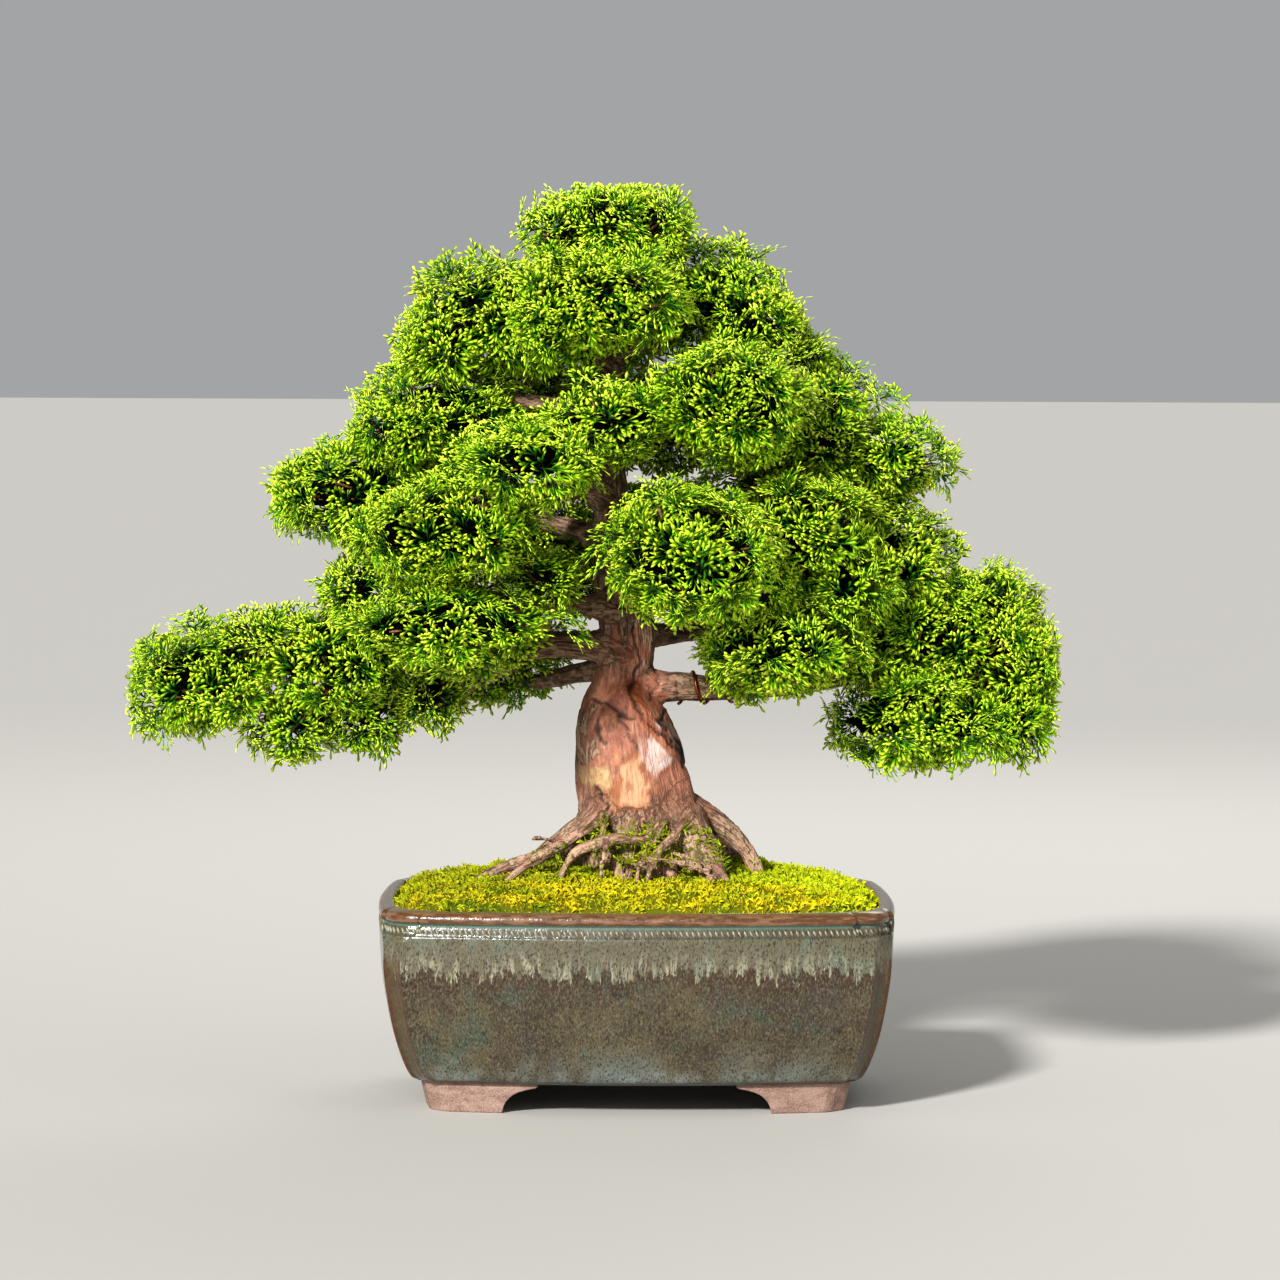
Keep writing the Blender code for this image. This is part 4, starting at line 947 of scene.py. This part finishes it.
copper_brown, graph, shader = new_finish("anodised_aluminium_wire", "#8a4a26", 0.38, Metallic=1.0)
scuffs = patches(graph, place_in_mm(graph), (2, 2, 2), 0.55, 0.7)
graph.links.new(paint(graph, "#8a4a26", [(0.6, "#c08a60", scuffs)]), shader["Base Color"])
for name, (start, end, turns) in WIRES.items():
    path = along_table(BRANCHES[name], LIMB_STEP)
    _, side, over = frames_along(path)
    run = run_along(path[:, :3])
    share = np.linspace(start, end, turns * TURN_STEPS + 1)
    path, side, over = [rows_at(table, run, share * run[-1]) for table in (path, side, over)]
    turn = ((share - start) / (end - start) * turns * 2 * math.pi)[:, None]
    away = np.cos(turn) * side + np.sin(turn) * over
    wire = path[:, :3] + (path[:, 3:] + WIRE_RADIUS + WIRE_CLEARANCE) * away
    wire = np.column_stack([wire, np.full(len(wire), WIRE_RADIUS)])
    winding = make_piece("wire_on_" + name, *limb(wire, WIRE_SIDES), copper_brown)
    put_in_place(winding, "training_wire", "wire_" + name)

# Moss
# Living sheet moss laid over the soil and grown together: fine curled shoots, lime on the right, olive on
# the left and deep green between the roots. The front is painted golden and brighter, as a pool of light.
MOUND_X = 36.0
MOUND_EDGE_Z = 143.0
MOUND_RISE = 25.0
MOUND_POWER = 0.92
MOSS_THICK = 8.5
MOSS_THIN = 5.0
MOSS_EDGE_SHARE = 0.93
MOSS_EDGE_INSET = 13.2
MOSS_EDGE_Z = 149.0
MOSS_RINGS = 34
# the sheet's underside: shares of the way from its middle to its edge, and its height over the soil
MOSS_UNDER = [(0.995, 1.5), (0.99, 0.2), (0.5, 0.2), (0.01, 0.2)]
# the sheet's own low lumps: how high, how wide and their seed
MOSS_LUMPS = [(1.6, 22, 60), (1.5, 9, 61)]
# real moss has far more and finer shoots, and these are drawn coarse enough to show
MOSS_SHOOTS = 20000
SEED = 11
SHOOT_LENGTH = (3.6, 7.4)
# how long shoots grow in poor places and in lush ones, as shares of their length
SHOOT_GROWTH = (0.75, 1.25)
SHOOT_WIDTH = 1.8
SHOOT_WIDTH_PLAY = (0.6, 1.1)
SHOOT_SINK = 1.0
SHOOT_LEAN = (0.3, 1.35)
# how far ahead and how high a shoot's bend and tip lie, as shares of its length
SHOOT_BEND = (0.5, 0.22)
SHOOT_TIP = (0.92, -0.12)
# how young a shoot is at its two lower corners, its bend and its tip; the dark base is partly painted shade
SHOOT_AGE_AND_SHADE = (0.15, 0.15, 0.5, 1.0)
SHOOT = [(0, 1, 2), (0, 2, 3), (1, 3, 2), (0, 3, 1)]
# no shoots stand under the trunk: its middle and reach
TRUNK_FOOT = (38, 4)
TRUNK_FOOT_REACH = 46
# where moss has climbed up between the roots: middle and half sizes
CLIMBING_MOSS = [(34, -54, 200, 24, 26, 13), (6, -52, 198, 16, 24, 14), (78, -54, 194, 18, 22, 15),
                 (56, -60, 186, 50, 24, 12), (-20, -40, 184, 30, 30, 9), (104, -40, 178, 20, 26, 10)]
CLIMBING_RAGGED = 0.5
CLIMBING_SPACING = 3
CLIMBING_SINK = 0.8
# how far its shoots point out from the bark and how far up
CLIMBING_OUT = 0.7
CLIMBING_UP = 0.5

moss_green, graph, shader = new_finish("living_sheet_moss", "#a5a112", 0.8, Specular_IOR_Level=0.2)
place = place_in_mm(graph)
shoot = values_on(graph, "shoot")
far = add_node(graph, "SeparateXYZ", {0: place})
graph.links.new(paint(graph, "#89940a", [
    (0.8, "#9d9508", patches(graph, place, (24, 24, 24), 0.42, 0.58)),
    (0.7, "#b8c60c", between(graph, far["X"], 40, 150)),
    # painted light: the front of the sheet is golden
    (0.75, "#d2b914", patches(graph, place, (34, 20, 20), 0.44, 0.58), between(graph, far["Y"], -60, -95)),
    # painted light: brighter in the middle front, over the tree's cast shadow
    (0.6, "#c2b812", between(graph, far["X"], -30, 20, 50, 110), between(graph, far["Y"], -50, -85)),
    (0.5, "#5c6803", patches(graph, place, (11, 11, 11), 0.52, 0.64)),
    (0.5, "#4c700a", between(graph, far["Z"], 168, 180)),
    # shoot bases darker: partly older stem, partly painted shade between the shoots
    (0.8, "#333f03", between(graph, shoot["X"], 0.5, 0.05)),
    (0.8, "#f2e936", between(graph, shoot["X"], 0.55, 1.0), between(graph, shoot["Y"], 0.35, 0.8))]),
    shader["Base Color"])

edge = pot_plan(MOSS_EDGE_Z, MOSS_EDGE_INSET)[0][:, :2]
middle = np.array([MOUND_X, 0.0])


def soil_height(share):
    """How high the heaped soil stands, at a share of the way from its middle to its edge."""
    return MOUND_EDGE_Z + MOUND_RISE * (1 - share ** 2) ** MOUND_POWER


def moss_thickness(share):
    """How thick the moss lies there; it thins out at its edge."""
    return MOSS_THICK - MOSS_THIN * smooth_step(MOSS_EDGE_SHARE, 1, share)


def moss_lumps(points):
    """The heights that the sheet's lumps add."""
    return sum(rise * relief(points, (wide, wide, 50), seed) for rise, wide, seed in MOSS_LUMPS)


shares = np.linspace(0.01, 1, MOSS_RINGS)
lift = np.concatenate([moss_thickness(shares), [lift for _, lift in MOSS_UNDER]])
shares = np.concatenate([shares, [share for share, _ in MOSS_UNDER]])
rings = (middle + shares[:, None, None] * (edge - middle)).reshape(-1, 2)
cover = np.column_stack([rings, np.repeat(soil_height(shares) + lift, len(edge))])
cover[:, 2] += (np.arange(len(cover)) < MOSS_RINGS * len(edge)) * moss_lumps(cover)

rng = np.random.RandomState(SEED)
share = np.sqrt(rng.uniform(0, 1, MOSS_SHOOTS))
closed = np.concatenate([edge, edge[:1]])
reach = run_along(closed)
rim = rows_at(closed, reach, rng.uniform(0, reach[-1], MOSS_SHOOTS))
root = np.column_stack([middle + share[:, None] * (rim - middle), soil_height(share) + moss_thickness(share)])
root[:, 2] += moss_lumps(root) - SHOOT_SINK
root = root[np.linalg.norm(root[:, :2] - TRUNK_FOOT, axis=1) > TRUNK_FOOT_REACH]
upright = np.tile((0.0, 0.0, 1.0), (len(root), 1))
held = np.zeros(len(wood_points), bool)
ragged = CLIMBING_RAGGED * relief(wood_points, (9, 9, 9), 63)
for zone in CLIMBING_MOSS:
    held |= np.linalg.norm((wood_points - zone[:3]) / zone[3:], axis=1) + ragged < 1
climbing = np.flatnonzero(held)[::CLIMBING_SPACING]
root = np.concatenate([root, wood_points[climbing] - wood_normals[climbing] * CLIMBING_SINK])
upright = np.concatenate([upright, CLIMBING_OUT * wood_normals[climbing] + (0, 0, CLIMBING_UP)])
upright /= np.linalg.norm(upright, axis=1)[:, None]
lean = rng.uniform(*SHOOT_LEAN, len(root))[:, None]
side = np.cross(upright, rng.normal(size=(len(root), 3)))
side /= np.linalg.norm(side, axis=1)[:, None]
ahead = np.cos(lean) * upright + np.sin(lean) * np.cross(side, upright)
over = np.cross(ahead, side)
lush = np.take(SHOOT_GROWTH, relief(root, (14, 14, 14), 62) > 0)
long = (rng.uniform(*SHOOT_LENGTH, len(root)) * lush)[:, None]
wide = SHOOT_WIDTH * rng.uniform(*SHOOT_WIDTH_PLAY, len(root))[:, None]
bend, tip = [root + ahead * long * forward + upright * long * up for forward, up in (SHOOT_BEND, SHOOT_TIP)]
shoots = np.stack([root - side * wide / 2, root + side * wide / 2, bend, tip], 1).reshape(-1, 3)
first = np.arange(len(root))[:, None, None] * len(SHOOT_AGE_AND_SHADE)
young = np.tile(SHOOT_AGE_AND_SHADE, len(root))
vary = np.repeat(rng.uniform(0, 1, len(root)), len(SHOOT_AGE_AND_SHADE))
marks = np.concatenate([np.zeros_like(cover), np.stack([young, vary, vary], -1)])
moss = make_piece("moss_cover", *joined([(cover, ring_triangles(len(shares), len(edge))),
                                         (shoots, (first + np.array(SHOOT)).reshape(-1, 3))]),
                  moss_green, {"shoot": marks}, smooth=False)
put_in_place(moss, "moss", "moss")

# Fallen bracts
# A few small red bracts have dropped on the moss and on one root: five pointed lobes each, thin and dry.
FALLEN = [(-71, -74), (-64, -36), (-84, -112), (-39, -102), (-47, -88), (186, -44), (112, -100)]
FALLEN_ON_ROOT = (-25, -56, 199)
BRACT_LOBES = 5
BRACT_REACH = 4.2
BRACT_LIFT = 3.4
BRACT_ARCH = 0.5
BRACT_WIDTH = 0.3
BRACT_TURN_PLAY = 0.2
BRACT_CURL = (-0.1, 0.5)
BRACT = [(0, 1, 3), (1, 2, 3), (0, 3, 2), (0, 2, 1)]

dry_red, graph, shader = new_finish("dry_red_bracts", "#b23a30", 0.6)
faded = patches(graph, place_in_mm(graph), (3, 3, 3), 0.45, 0.6)
graph.links.new(paint(graph, "#b23a30", [(0.6, "#de7b62", faded)]), shader["Base Color"])
share = [min(np.linalg.norm((spot - middle) / (edge.max(0) - middle)), 1) for spot in FALLEN]
lying = [(x, y, soil_height(s) + MOSS_THICK + BRACT_LIFT) for (x, y), s in zip(FALLEN, share)]
points, triangles = [], []
for x, y, z in lying + [FALLEN_ON_ROOT]:
    for i in range(BRACT_LOBES):
        turn = rng.uniform(-BRACT_TURN_PLAY, BRACT_TURN_PLAY) + i * 2 * math.pi / BRACT_LOBES
        ahead = BRACT_REACH * np.array([math.cos(turn), math.sin(turn), rng.uniform(*BRACT_CURL)])
        side = BRACT_REACH * BRACT_WIDTH * np.array([-math.sin(turn), math.cos(turn), 0])
        triangles += [[len(points) + c for c in corners] for corners in BRACT]
        waist = (x, y, z + BRACT_ARCH) + ahead * 0.5
        points += [np.array([x, y, z]), waist + side, (x, y, z) + ahead, waist - side]
bracts = make_piece("fallen_bracts", points, triangles, dry_red, smooth=False)
put_in_place(bracts, "moss", "moss")

# Foliage
# Flat fans of scale leaves, packed as rosettes over every cushion. Each fan is an axis with side shoots that
# fork again into blunt fingers about 2.5 mm wide, deep green inside and lime where they are growing.

# further lobes of some cushions: middle and half sizes
LOBES = {"apex": [(-22, -8, 656, 34, 42, 30), (40, -8, 664, 30, 44, 30), (8, -30, 666, 34, 36, 28)],
         "crown_left": [(-112, -20, 574, 38, 44, 32)],
         "crown_right": [(118, -30, 586, 38, 44, 34), (150, -10, 560, 32, 40, 28)],
         "upper_left": [(-148, -30, 508, 36, 44, 30)], "upper_right": [(174, -10, 502, 38, 50, 32)],
         "left_mid_outer": [(-218, -20, 464, 24, 40, 28)], "left_mid_inner": [(-40, -74, 398, 32, 34, 22)],
         "left_low_outer": [(-320, -20, 304, 34, 34, 28), (-252, -20, 346, 32, 36, 26)],
         "left_low_mid": [(-226, -20, 286, 38, 36, 30), (-172, -18, 290, 34, 34, 26),
                          (-176, -20, 388, 32, 36, 26)],
         "left_low_inner": [(-122, -22, 306, 28, 34, 22)],
         "far_right_upper": [(320, -14, 322, 38, 46, 48), (302, 0, 374, 42, 48, 34)],
         "far_right_low": [(316, -30, 292, 38, 44, 36)],
         "right_mid": [(186, -84, 396, 36, 44, 36), (116, -112, 400, 36, 50, 40)],
         "crown_front": [(-30, -90, 590, 34, 40, 32)], "crown_back": [(-24, 96, 620, 34, 34, 24)],
         "mid_back": [(82, 150, 440, 34, 40, 26), (-6, 150, 390, 36, 40, 26), (-44, 74, 424, 40, 34, 40)],
         "right_low_front": [(122, -66, 334, 48, 38, 24)],
         "upper_back": [(-52, 120, 536, 34, 40, 26), (56, 110, 500, 34, 40, 28)],
         "right_mid_back": [(206, 150, 446, 34, 36, 28)], "left_mid_back": [(-166, 120, 428, 34, 40, 26)],
         "right_low_back": [(212, 110, 346, 34, 40, 26)], "left_low_back": [(-132, 100, 312, 34, 38, 26)]}
FAN_LENGTH = 22.0
# the real leaves are 1 to 2 mm wide, and are drawn a little wider so that they show
FINGER_WIDTH = 2.5
FINGER_LIFT = 0.26
FINGER_RIDGE = 0.7
FINGER_TILT = 0.45
# each order of side shoots is narrower by this share
FINGER_THINNING = 0.05
FINGER_TURN_PLAY = 0.10
# how much a fan droops toward its tip and cups across, for each millimetre squared
FAN_DROOP = (0.002, 0.017)
FAN_CUP = (-0.006, 0.02)
# how young the axis is, how much younger each order of side shoots is, and how a finger gains to its end
AXIS_AGE = 0.12
AGE_STEP = 0.14
AGE_GAIN = 0.15
AGE_POWER = 1.5
FAN_KINDS = 10
# where each side shoot leaves the axis, and its length, both as shares of the axis
SIDE_SHOOTS = [(0.12, 0.56), (0.28, 0.62), (0.45, 0.56), (0.62, 0.46), (0.80, 0.34)]
SIDE_LENGTH_PLAY = (0.85, 1.15)
SIDE_TURN = 0.85
SIDE_TURN_LOSS = 0.3
# a shoot over the first length has three forks and a bend, one over the second has two forks
LONG_SHOOT = 12.5
SHORT_SHOOT = 6.5
FORK_START = 0.3
FORK_GAP = 0.24
FORK_TURN = (0.45, 0.65)
FORK_LENGTH = (6.4, 9.0)
TUFT_SPACING = 34.4
TUFT_DEPTH = 16.0
TUFT_SINK = (-2.0, 0.0, 3.0, 9.0)
HIDDEN_SHARE = 0.72
TWIG_STOP = 6.0
LUMP_SIZE = 30.0
LUMP_SHARE = 0.19
LUMP_MOST = 0.6
# lean of each fan in a rosette, in degrees: the first lies across its middle
FAN_LEANS = (62, 50, 60, 64, 56, 58)
LEAN_PLAY = 14
TURN_PLAY = 0.35
FAN_SIZE = (0.9, 1.2)
FIRST_FAN_SIZE = 0.95
# how far out and across a rosette's first fan has its foot, and how far across the others have theirs
FIRST_FOOT = (8, 9)
FOOT = 2
# how much a fan's tone goes with its rosette
TONE_SHARED = 0.6
HEADING_PLAY = 0.12
SURFACE_PLAY = (-0.05, 0.06)
UPWARD = 0.25
# how far the dark fill of painted shade reaches, as shares of the core's size, and the sizes of its spikes
CORE_REACH = 0.9
CORE_SPIKES = [(0.10, 0.5, 70), (0.18, 0.16, 71)]
CORE_DEPTH = 22.0
CORE_LEAST = 8.0
CORE_SIDES = 20
CORE_ROWS = 12
CORE_POLE = 0.08
# how far from a cushion's middle its leaves are in the dark and in full light, as shares of its size
LIGHT_REACH = (0.45, 0.95)
LEAF_MARGIN = 0.6
AREA_POWER = 1.6
# a leaflet's root, right, tip and left: shares of its length, half width and ridge height
LEAFLET_POINTS = [(-0.10, 0, 0), (0.84, -1, 1), (1.03, 0, 0.6), (0.84, 1, 1)]
LEAFLET = [(0, 1, 3), (1, 2, 3), (0, 3, 2), (0, 2, 1)]

# Living scale leaves: waxy, so they gleam softly. The old ones are deep green, and the growing tips are
# lime to yellow. Leaves deep inside a cushion are painted near black, as shade.
leaves, graph, shader = new_finish("waxy_scale_leaves", "#4e7a12", 0.42, IOR=1.42)
growth_and_shade = values_on(graph, "growth_and_shade")
young, vary, outer = growth_and_shade["X"], growth_and_shade["Y"], growth_and_shade["Z"]
graph.links.new(paint(graph, "#143807", [
    (0.95, "#4a970f", between(graph, young, 0.12, 0.42)),
    (0.45, "#2c701f", between(graph, vary, 0.55, 0.95)),
    (0.95, "#addd16", between(graph, young, 0.42, 0.82)),
    (0.95, "#effc50", between(graph, young, 0.66, 0.94), between(graph, vary, 1.05, 0.35)),
    # painted shade: leaves near a cushion's middle turn near black
    (0.95, "#0a1d03", between(graph, outer, 0.6, 0.1))]), shader["Base Color"])
# a dark fill inside each cushion, painted near black as the shade between its shoots, and dull
shade, graph, shader = new_finish("painted_shade_fill", "#0d1a06", 1.0, Specular_IOR_Level=0.0)
graph.links.new(paint(graph, "#070d03", [
    (0.8, "#16290a", patches(graph, place_in_mm(graph), (3, 3, 3), 0.48, 0.6)),
    (0.5, "#2b1d10", patches(graph, place_in_mm(graph), (5, 5, 5), 0.56, 0.66))]), shader["Base Color"])


def grow_shoot(fingers, start, heading, length, rank, rng):
    """Lay one flat shoot of leaflets from a start point, with its side shoots; rank 0 is the fan's axis."""
    pieces = 2 if length > LONG_SHOOT else 1
    at = np.array(start, float)
    for i in range(pieces):
        heading += rng.uniform(-FINGER_TURN_PLAY, FINGER_TURN_PLAY)
        to = at + length / pieces * np.array([math.cos(heading), math.sin(heading)])
        width = FINGER_WIDTH * (1.0 - FINGER_THINNING * rank)
        fingers.append((*at, *to, width, rank, float(i == pieces - 1)))
        at = to
    ahead = np.array([math.cos(heading), math.sin(heading)])
    if rank == 0:
        for i, (share, long) in enumerate(SIDE_SHOOTS):
            hand = 1 if i % 2 else -1
            turn = hand * (SIDE_TURN - SIDE_TURN_LOSS * share)
            grow_shoot(fingers, start + ahead * length * share, heading + turn,
                       length * long * rng.uniform(*SIDE_LENGTH_PLAY), 1, rng)
    elif rank == 1:
        for i in range(3 if length > LONG_SHOOT else 2 if length > SHORT_SHOOT else 1):
            hand = 1 if i % 2 else -1
            turn = hand * rng.uniform(*FORK_TURN)
            grow_shoot(fingers, start + ahead * length * (FORK_START + FORK_GAP * i), heading + turn,
                       rng.uniform(*FORK_LENGTH), 2, rng)


def fan_shape(rng):
    """One fan lying flat, its axis along X: leaflet points and how young each is."""
    fingers = []
    grow_shoot(fingers, (0, 0), 0.0, FAN_LENGTH, 0, rng)
    x0, y0, x1, y1, width, rank, last = np.array(fingers).T
    start, along = np.stack([x0, y0], -1), np.stack([x1 - x0, y1 - y0], -1)
    length = np.linalg.norm(along, axis=1)
    across = np.stack([-along[:, 1], along[:, 0]], -1) / length[:, None] * width[:, None] / 2
    tilt = rng.uniform(-FINGER_TILT, FINGER_TILT, len(fingers)) * width / 2
    lift = rng.uniform(-FINGER_LIFT, FINGER_LIFT, len(fingers)) * length
    droop, cup = rng.uniform(*FAN_DROOP), rng.uniform(*FAN_CUP)
    base = AXIS_AGE + AGE_STEP * rank
    tip = np.where(last > 0, 1.0, base + AGE_GAIN)
    points, young = [], []
    for share, out, up in LEAFLET_POINTS:
        flat = start + along * share + across * out
        rise = FINGER_RIDGE * up + tilt * out + lift * share - droop * flat[:, 0] ** 2 + cup * flat[:, 1] ** 2
        points.append(np.column_stack([flat, rise]))
        young.append(base + (tip - base) * max(share, 0) ** AGE_POWER)
    return np.stack(points, 1).reshape(-1, 3), np.stack(young, 1).ravel()


def even_directions(count, turn):
    """Directions spread evenly over a ball."""
    i = np.arange(count) + 0.5
    up = 1 - 2 * i / count
    spin = turn + i * math.pi * (3 - math.sqrt(5))
    flat = np.sqrt(1 - up ** 2)
    return np.stack([np.cos(spin) * flat, np.sin(spin) * flat, up], -1)


def keep_inside(points):
    """Shift a fan back until it lies within the tree's real reach."""
    low, high = [np.array(corner) / MM for corner in cad_box]
    return (points + np.maximum(low + LEAF_MARGIN - points.min(0), 0)
            - np.maximum(points.max(0) - high + LEAF_MARGIN, 0))


def ball_points(rows, sides):
    """Points of a ball of radius one, in rings from its foot to its top, with its poles cut off flat."""
    turn = np.linspace(0, 2 * math.pi, sides, endpoint=False)
    tall = np.linspace(-math.pi / 2 + CORE_POLE, math.pi / 2 - CORE_POLE, rows)
    return np.stack([np.outer(np.cos(tall), np.cos(turn)), np.outer(np.cos(tall), np.sin(turn)),
                     np.outer(np.sin(tall), np.ones(sides))], -1).reshape(-1, 3)


def place_rosette(surface, out, rng, fans_of, twig_from):
    """Set one rosette of fans on a cushion: its middle on the surface, opening outward."""
    root = surface - out * (TUFT_DEPTH + rng.choice(TUFT_SINK))
    side = np.cross(out, rng.normal(size=3))
    side /= np.linalg.norm(side)
    over = np.cross(out, side)
    spin, tone = rng.uniform(0, 2 * math.pi), rng.uniform(0, 1)
    for i, lean in enumerate(FAN_LEANS):
        turn = spin + i * 2 * math.pi / (len(FAN_LEANS) - 1) + rng.uniform(-TURN_PLAY, TURN_PLAY)
        lean = math.radians(lean + rng.uniform(-LEAN_PLAY, LEAN_PLAY))
        away = math.cos(turn) * side + math.sin(turn) * over
        x = math.cos(lean) * out + math.sin(lean) * away
        z = math.sin(lean) * out - math.cos(lean) * away
        roll = rng.uniform(-TURN_PLAY, TURN_PLAY)
        y = np.cross(z, x)
        y, z = math.cos(roll) * y + math.sin(roll) * z, math.cos(roll) * z - math.sin(roll) * y
        flat, age = fans[rng.randint(FAN_KINDS)]
        size = rng.uniform(*FAN_SIZE) * (FIRST_FAN_SIZE if i == 0 else 1.0)
        foot = out * FIRST_FOOT[0] - away * FIRST_FOOT[1] if i == 0 else away * FOOT
        fans_of.append((keep_inside(root + foot + flat @ np.stack([x, y, z]) * size), age,
                        np.full(len(age), TONE_SHARED * tone + (1 - TONE_SHARED) * rng.uniform())))
    twigs.append((twig_from, root - out * TWIG_STOP))


rng = np.random.RandomState(SEED)
fans = [fan_shape(rng) for _ in range(FAN_KINDS)]
twigs = []
lobes = {name: [(np.array(row[:3], float), np.array(row[3:], float))
                for row in [cushion] + LOBES.get(name, [])] for name, cushion in CUSHIONS.items()}
all_lobes = [lobe for rows in lobes.values() for lobe in rows]
ball = ball_points(CORE_ROWS, CORE_SIDES)
spiky = sum((reach * relief(ball, (size, size, size), seed) for reach, size, seed in CORE_SPIKES), CORE_REACH)
for name in CUSHIONS:
    seat = branch_paths.get(name, trunk_path)[-1, :3]
    fans_here, cores = [], []
    for middle, half in lobes[name]:
        # the surface of an egg-shaped body
        area = sum((half[a] * half[b]) ** AREA_POWER for a, b in ((0, 1), (0, 2), (1, 2))) / 3
        area = 4 * math.pi * area ** (1 / AREA_POWER)
        for heading in even_directions(round(area / TUFT_SPACING ** 2), rng.uniform(0, 6)):
            heading = heading + rng.uniform(-HEADING_PLAY, HEADING_PLAY, 3)
            heading /= np.linalg.norm(heading)
            surface = heading / np.linalg.norm(heading / half)
            lump = min(relief((middle + surface)[None] / LUMP_SIZE, (1, 1, 1), 72)[0], LUMP_MOST)
            surface = middle + surface * (1 + LUMP_SHARE * lump + rng.uniform(*SURFACE_PLAY))
            if any(np.linalg.norm((surface - m) / h) < HIDDEN_SHARE for m, h in all_lobes if m is not middle):
                continue
            out = (surface - middle) / half ** 2
            out = out / np.linalg.norm(out) + np.array([0, 0, UPWARD])
            place_rosette(surface, out / np.linalg.norm(out), rng, fans_here, seat)
        cores.append((middle + ball * np.maximum(half - CORE_DEPTH, CORE_LEAST) * spiky[:, None],
                      ring_triangles(CORE_ROWS, CORE_SIDES)))
    points, young, vary = [np.concatenate([fan[i] for fan in fans_here]) for i in range(3)]
    first = np.arange(0, len(points), len(LEAFLET_POINTS))
    triangles = (first[:, None, None] + np.array(LEAFLET)).reshape(-1, 3)
    deep = np.min([np.linalg.norm((points - m) / h, axis=1) for m, h in lobes[name]], axis=0)
    sprays = make_piece("sprays_" + name, points, triangles, leaves,
                        {"growth_and_shade": np.stack([young, vary, smooth_step(*LIGHT_REACH, deep)], -1)})
    put_in_place(sprays, "scale_leaves", "foliage_" + name)
    inner = make_piece("dark_shade_fill_" + name, *joined(cores), shade, smooth=False)
    put_in_place(inner, "scale_leaves", "foliage_" + name)

# Twigs
# Thin red-brown twigs fork from the end of each branch to every tuft of fans, and show through the gaps.
TWIG_RADII = (1.8, 1.3, 0.8)
TWIG_SIDES = 4
TWIG_SAG = 2.0
# twigs are mostly smooth, a little flaky and not cracked
TWIG_WEAR = (0.8, 0.2, 0.0)

limbs = []
for seat, root in twigs:
    path = np.column_stack([np.stack([seat, (seat + root) / 2 - (0, 0, TWIG_SAG), root]), TWIG_RADII])
    limbs.append(limb(path, TWIG_SIDES))
points, triangles = joined(limbs)
twig_piece = make_piece("twigs", points, triangles, bark,
                        {"grain": points, "bare_wood": np.zeros_like(points),
                         "bark_wear": np.tile(TWIG_WEAR, (len(points), 1))})
put_in_place(twig_piece, "bark", "tree")
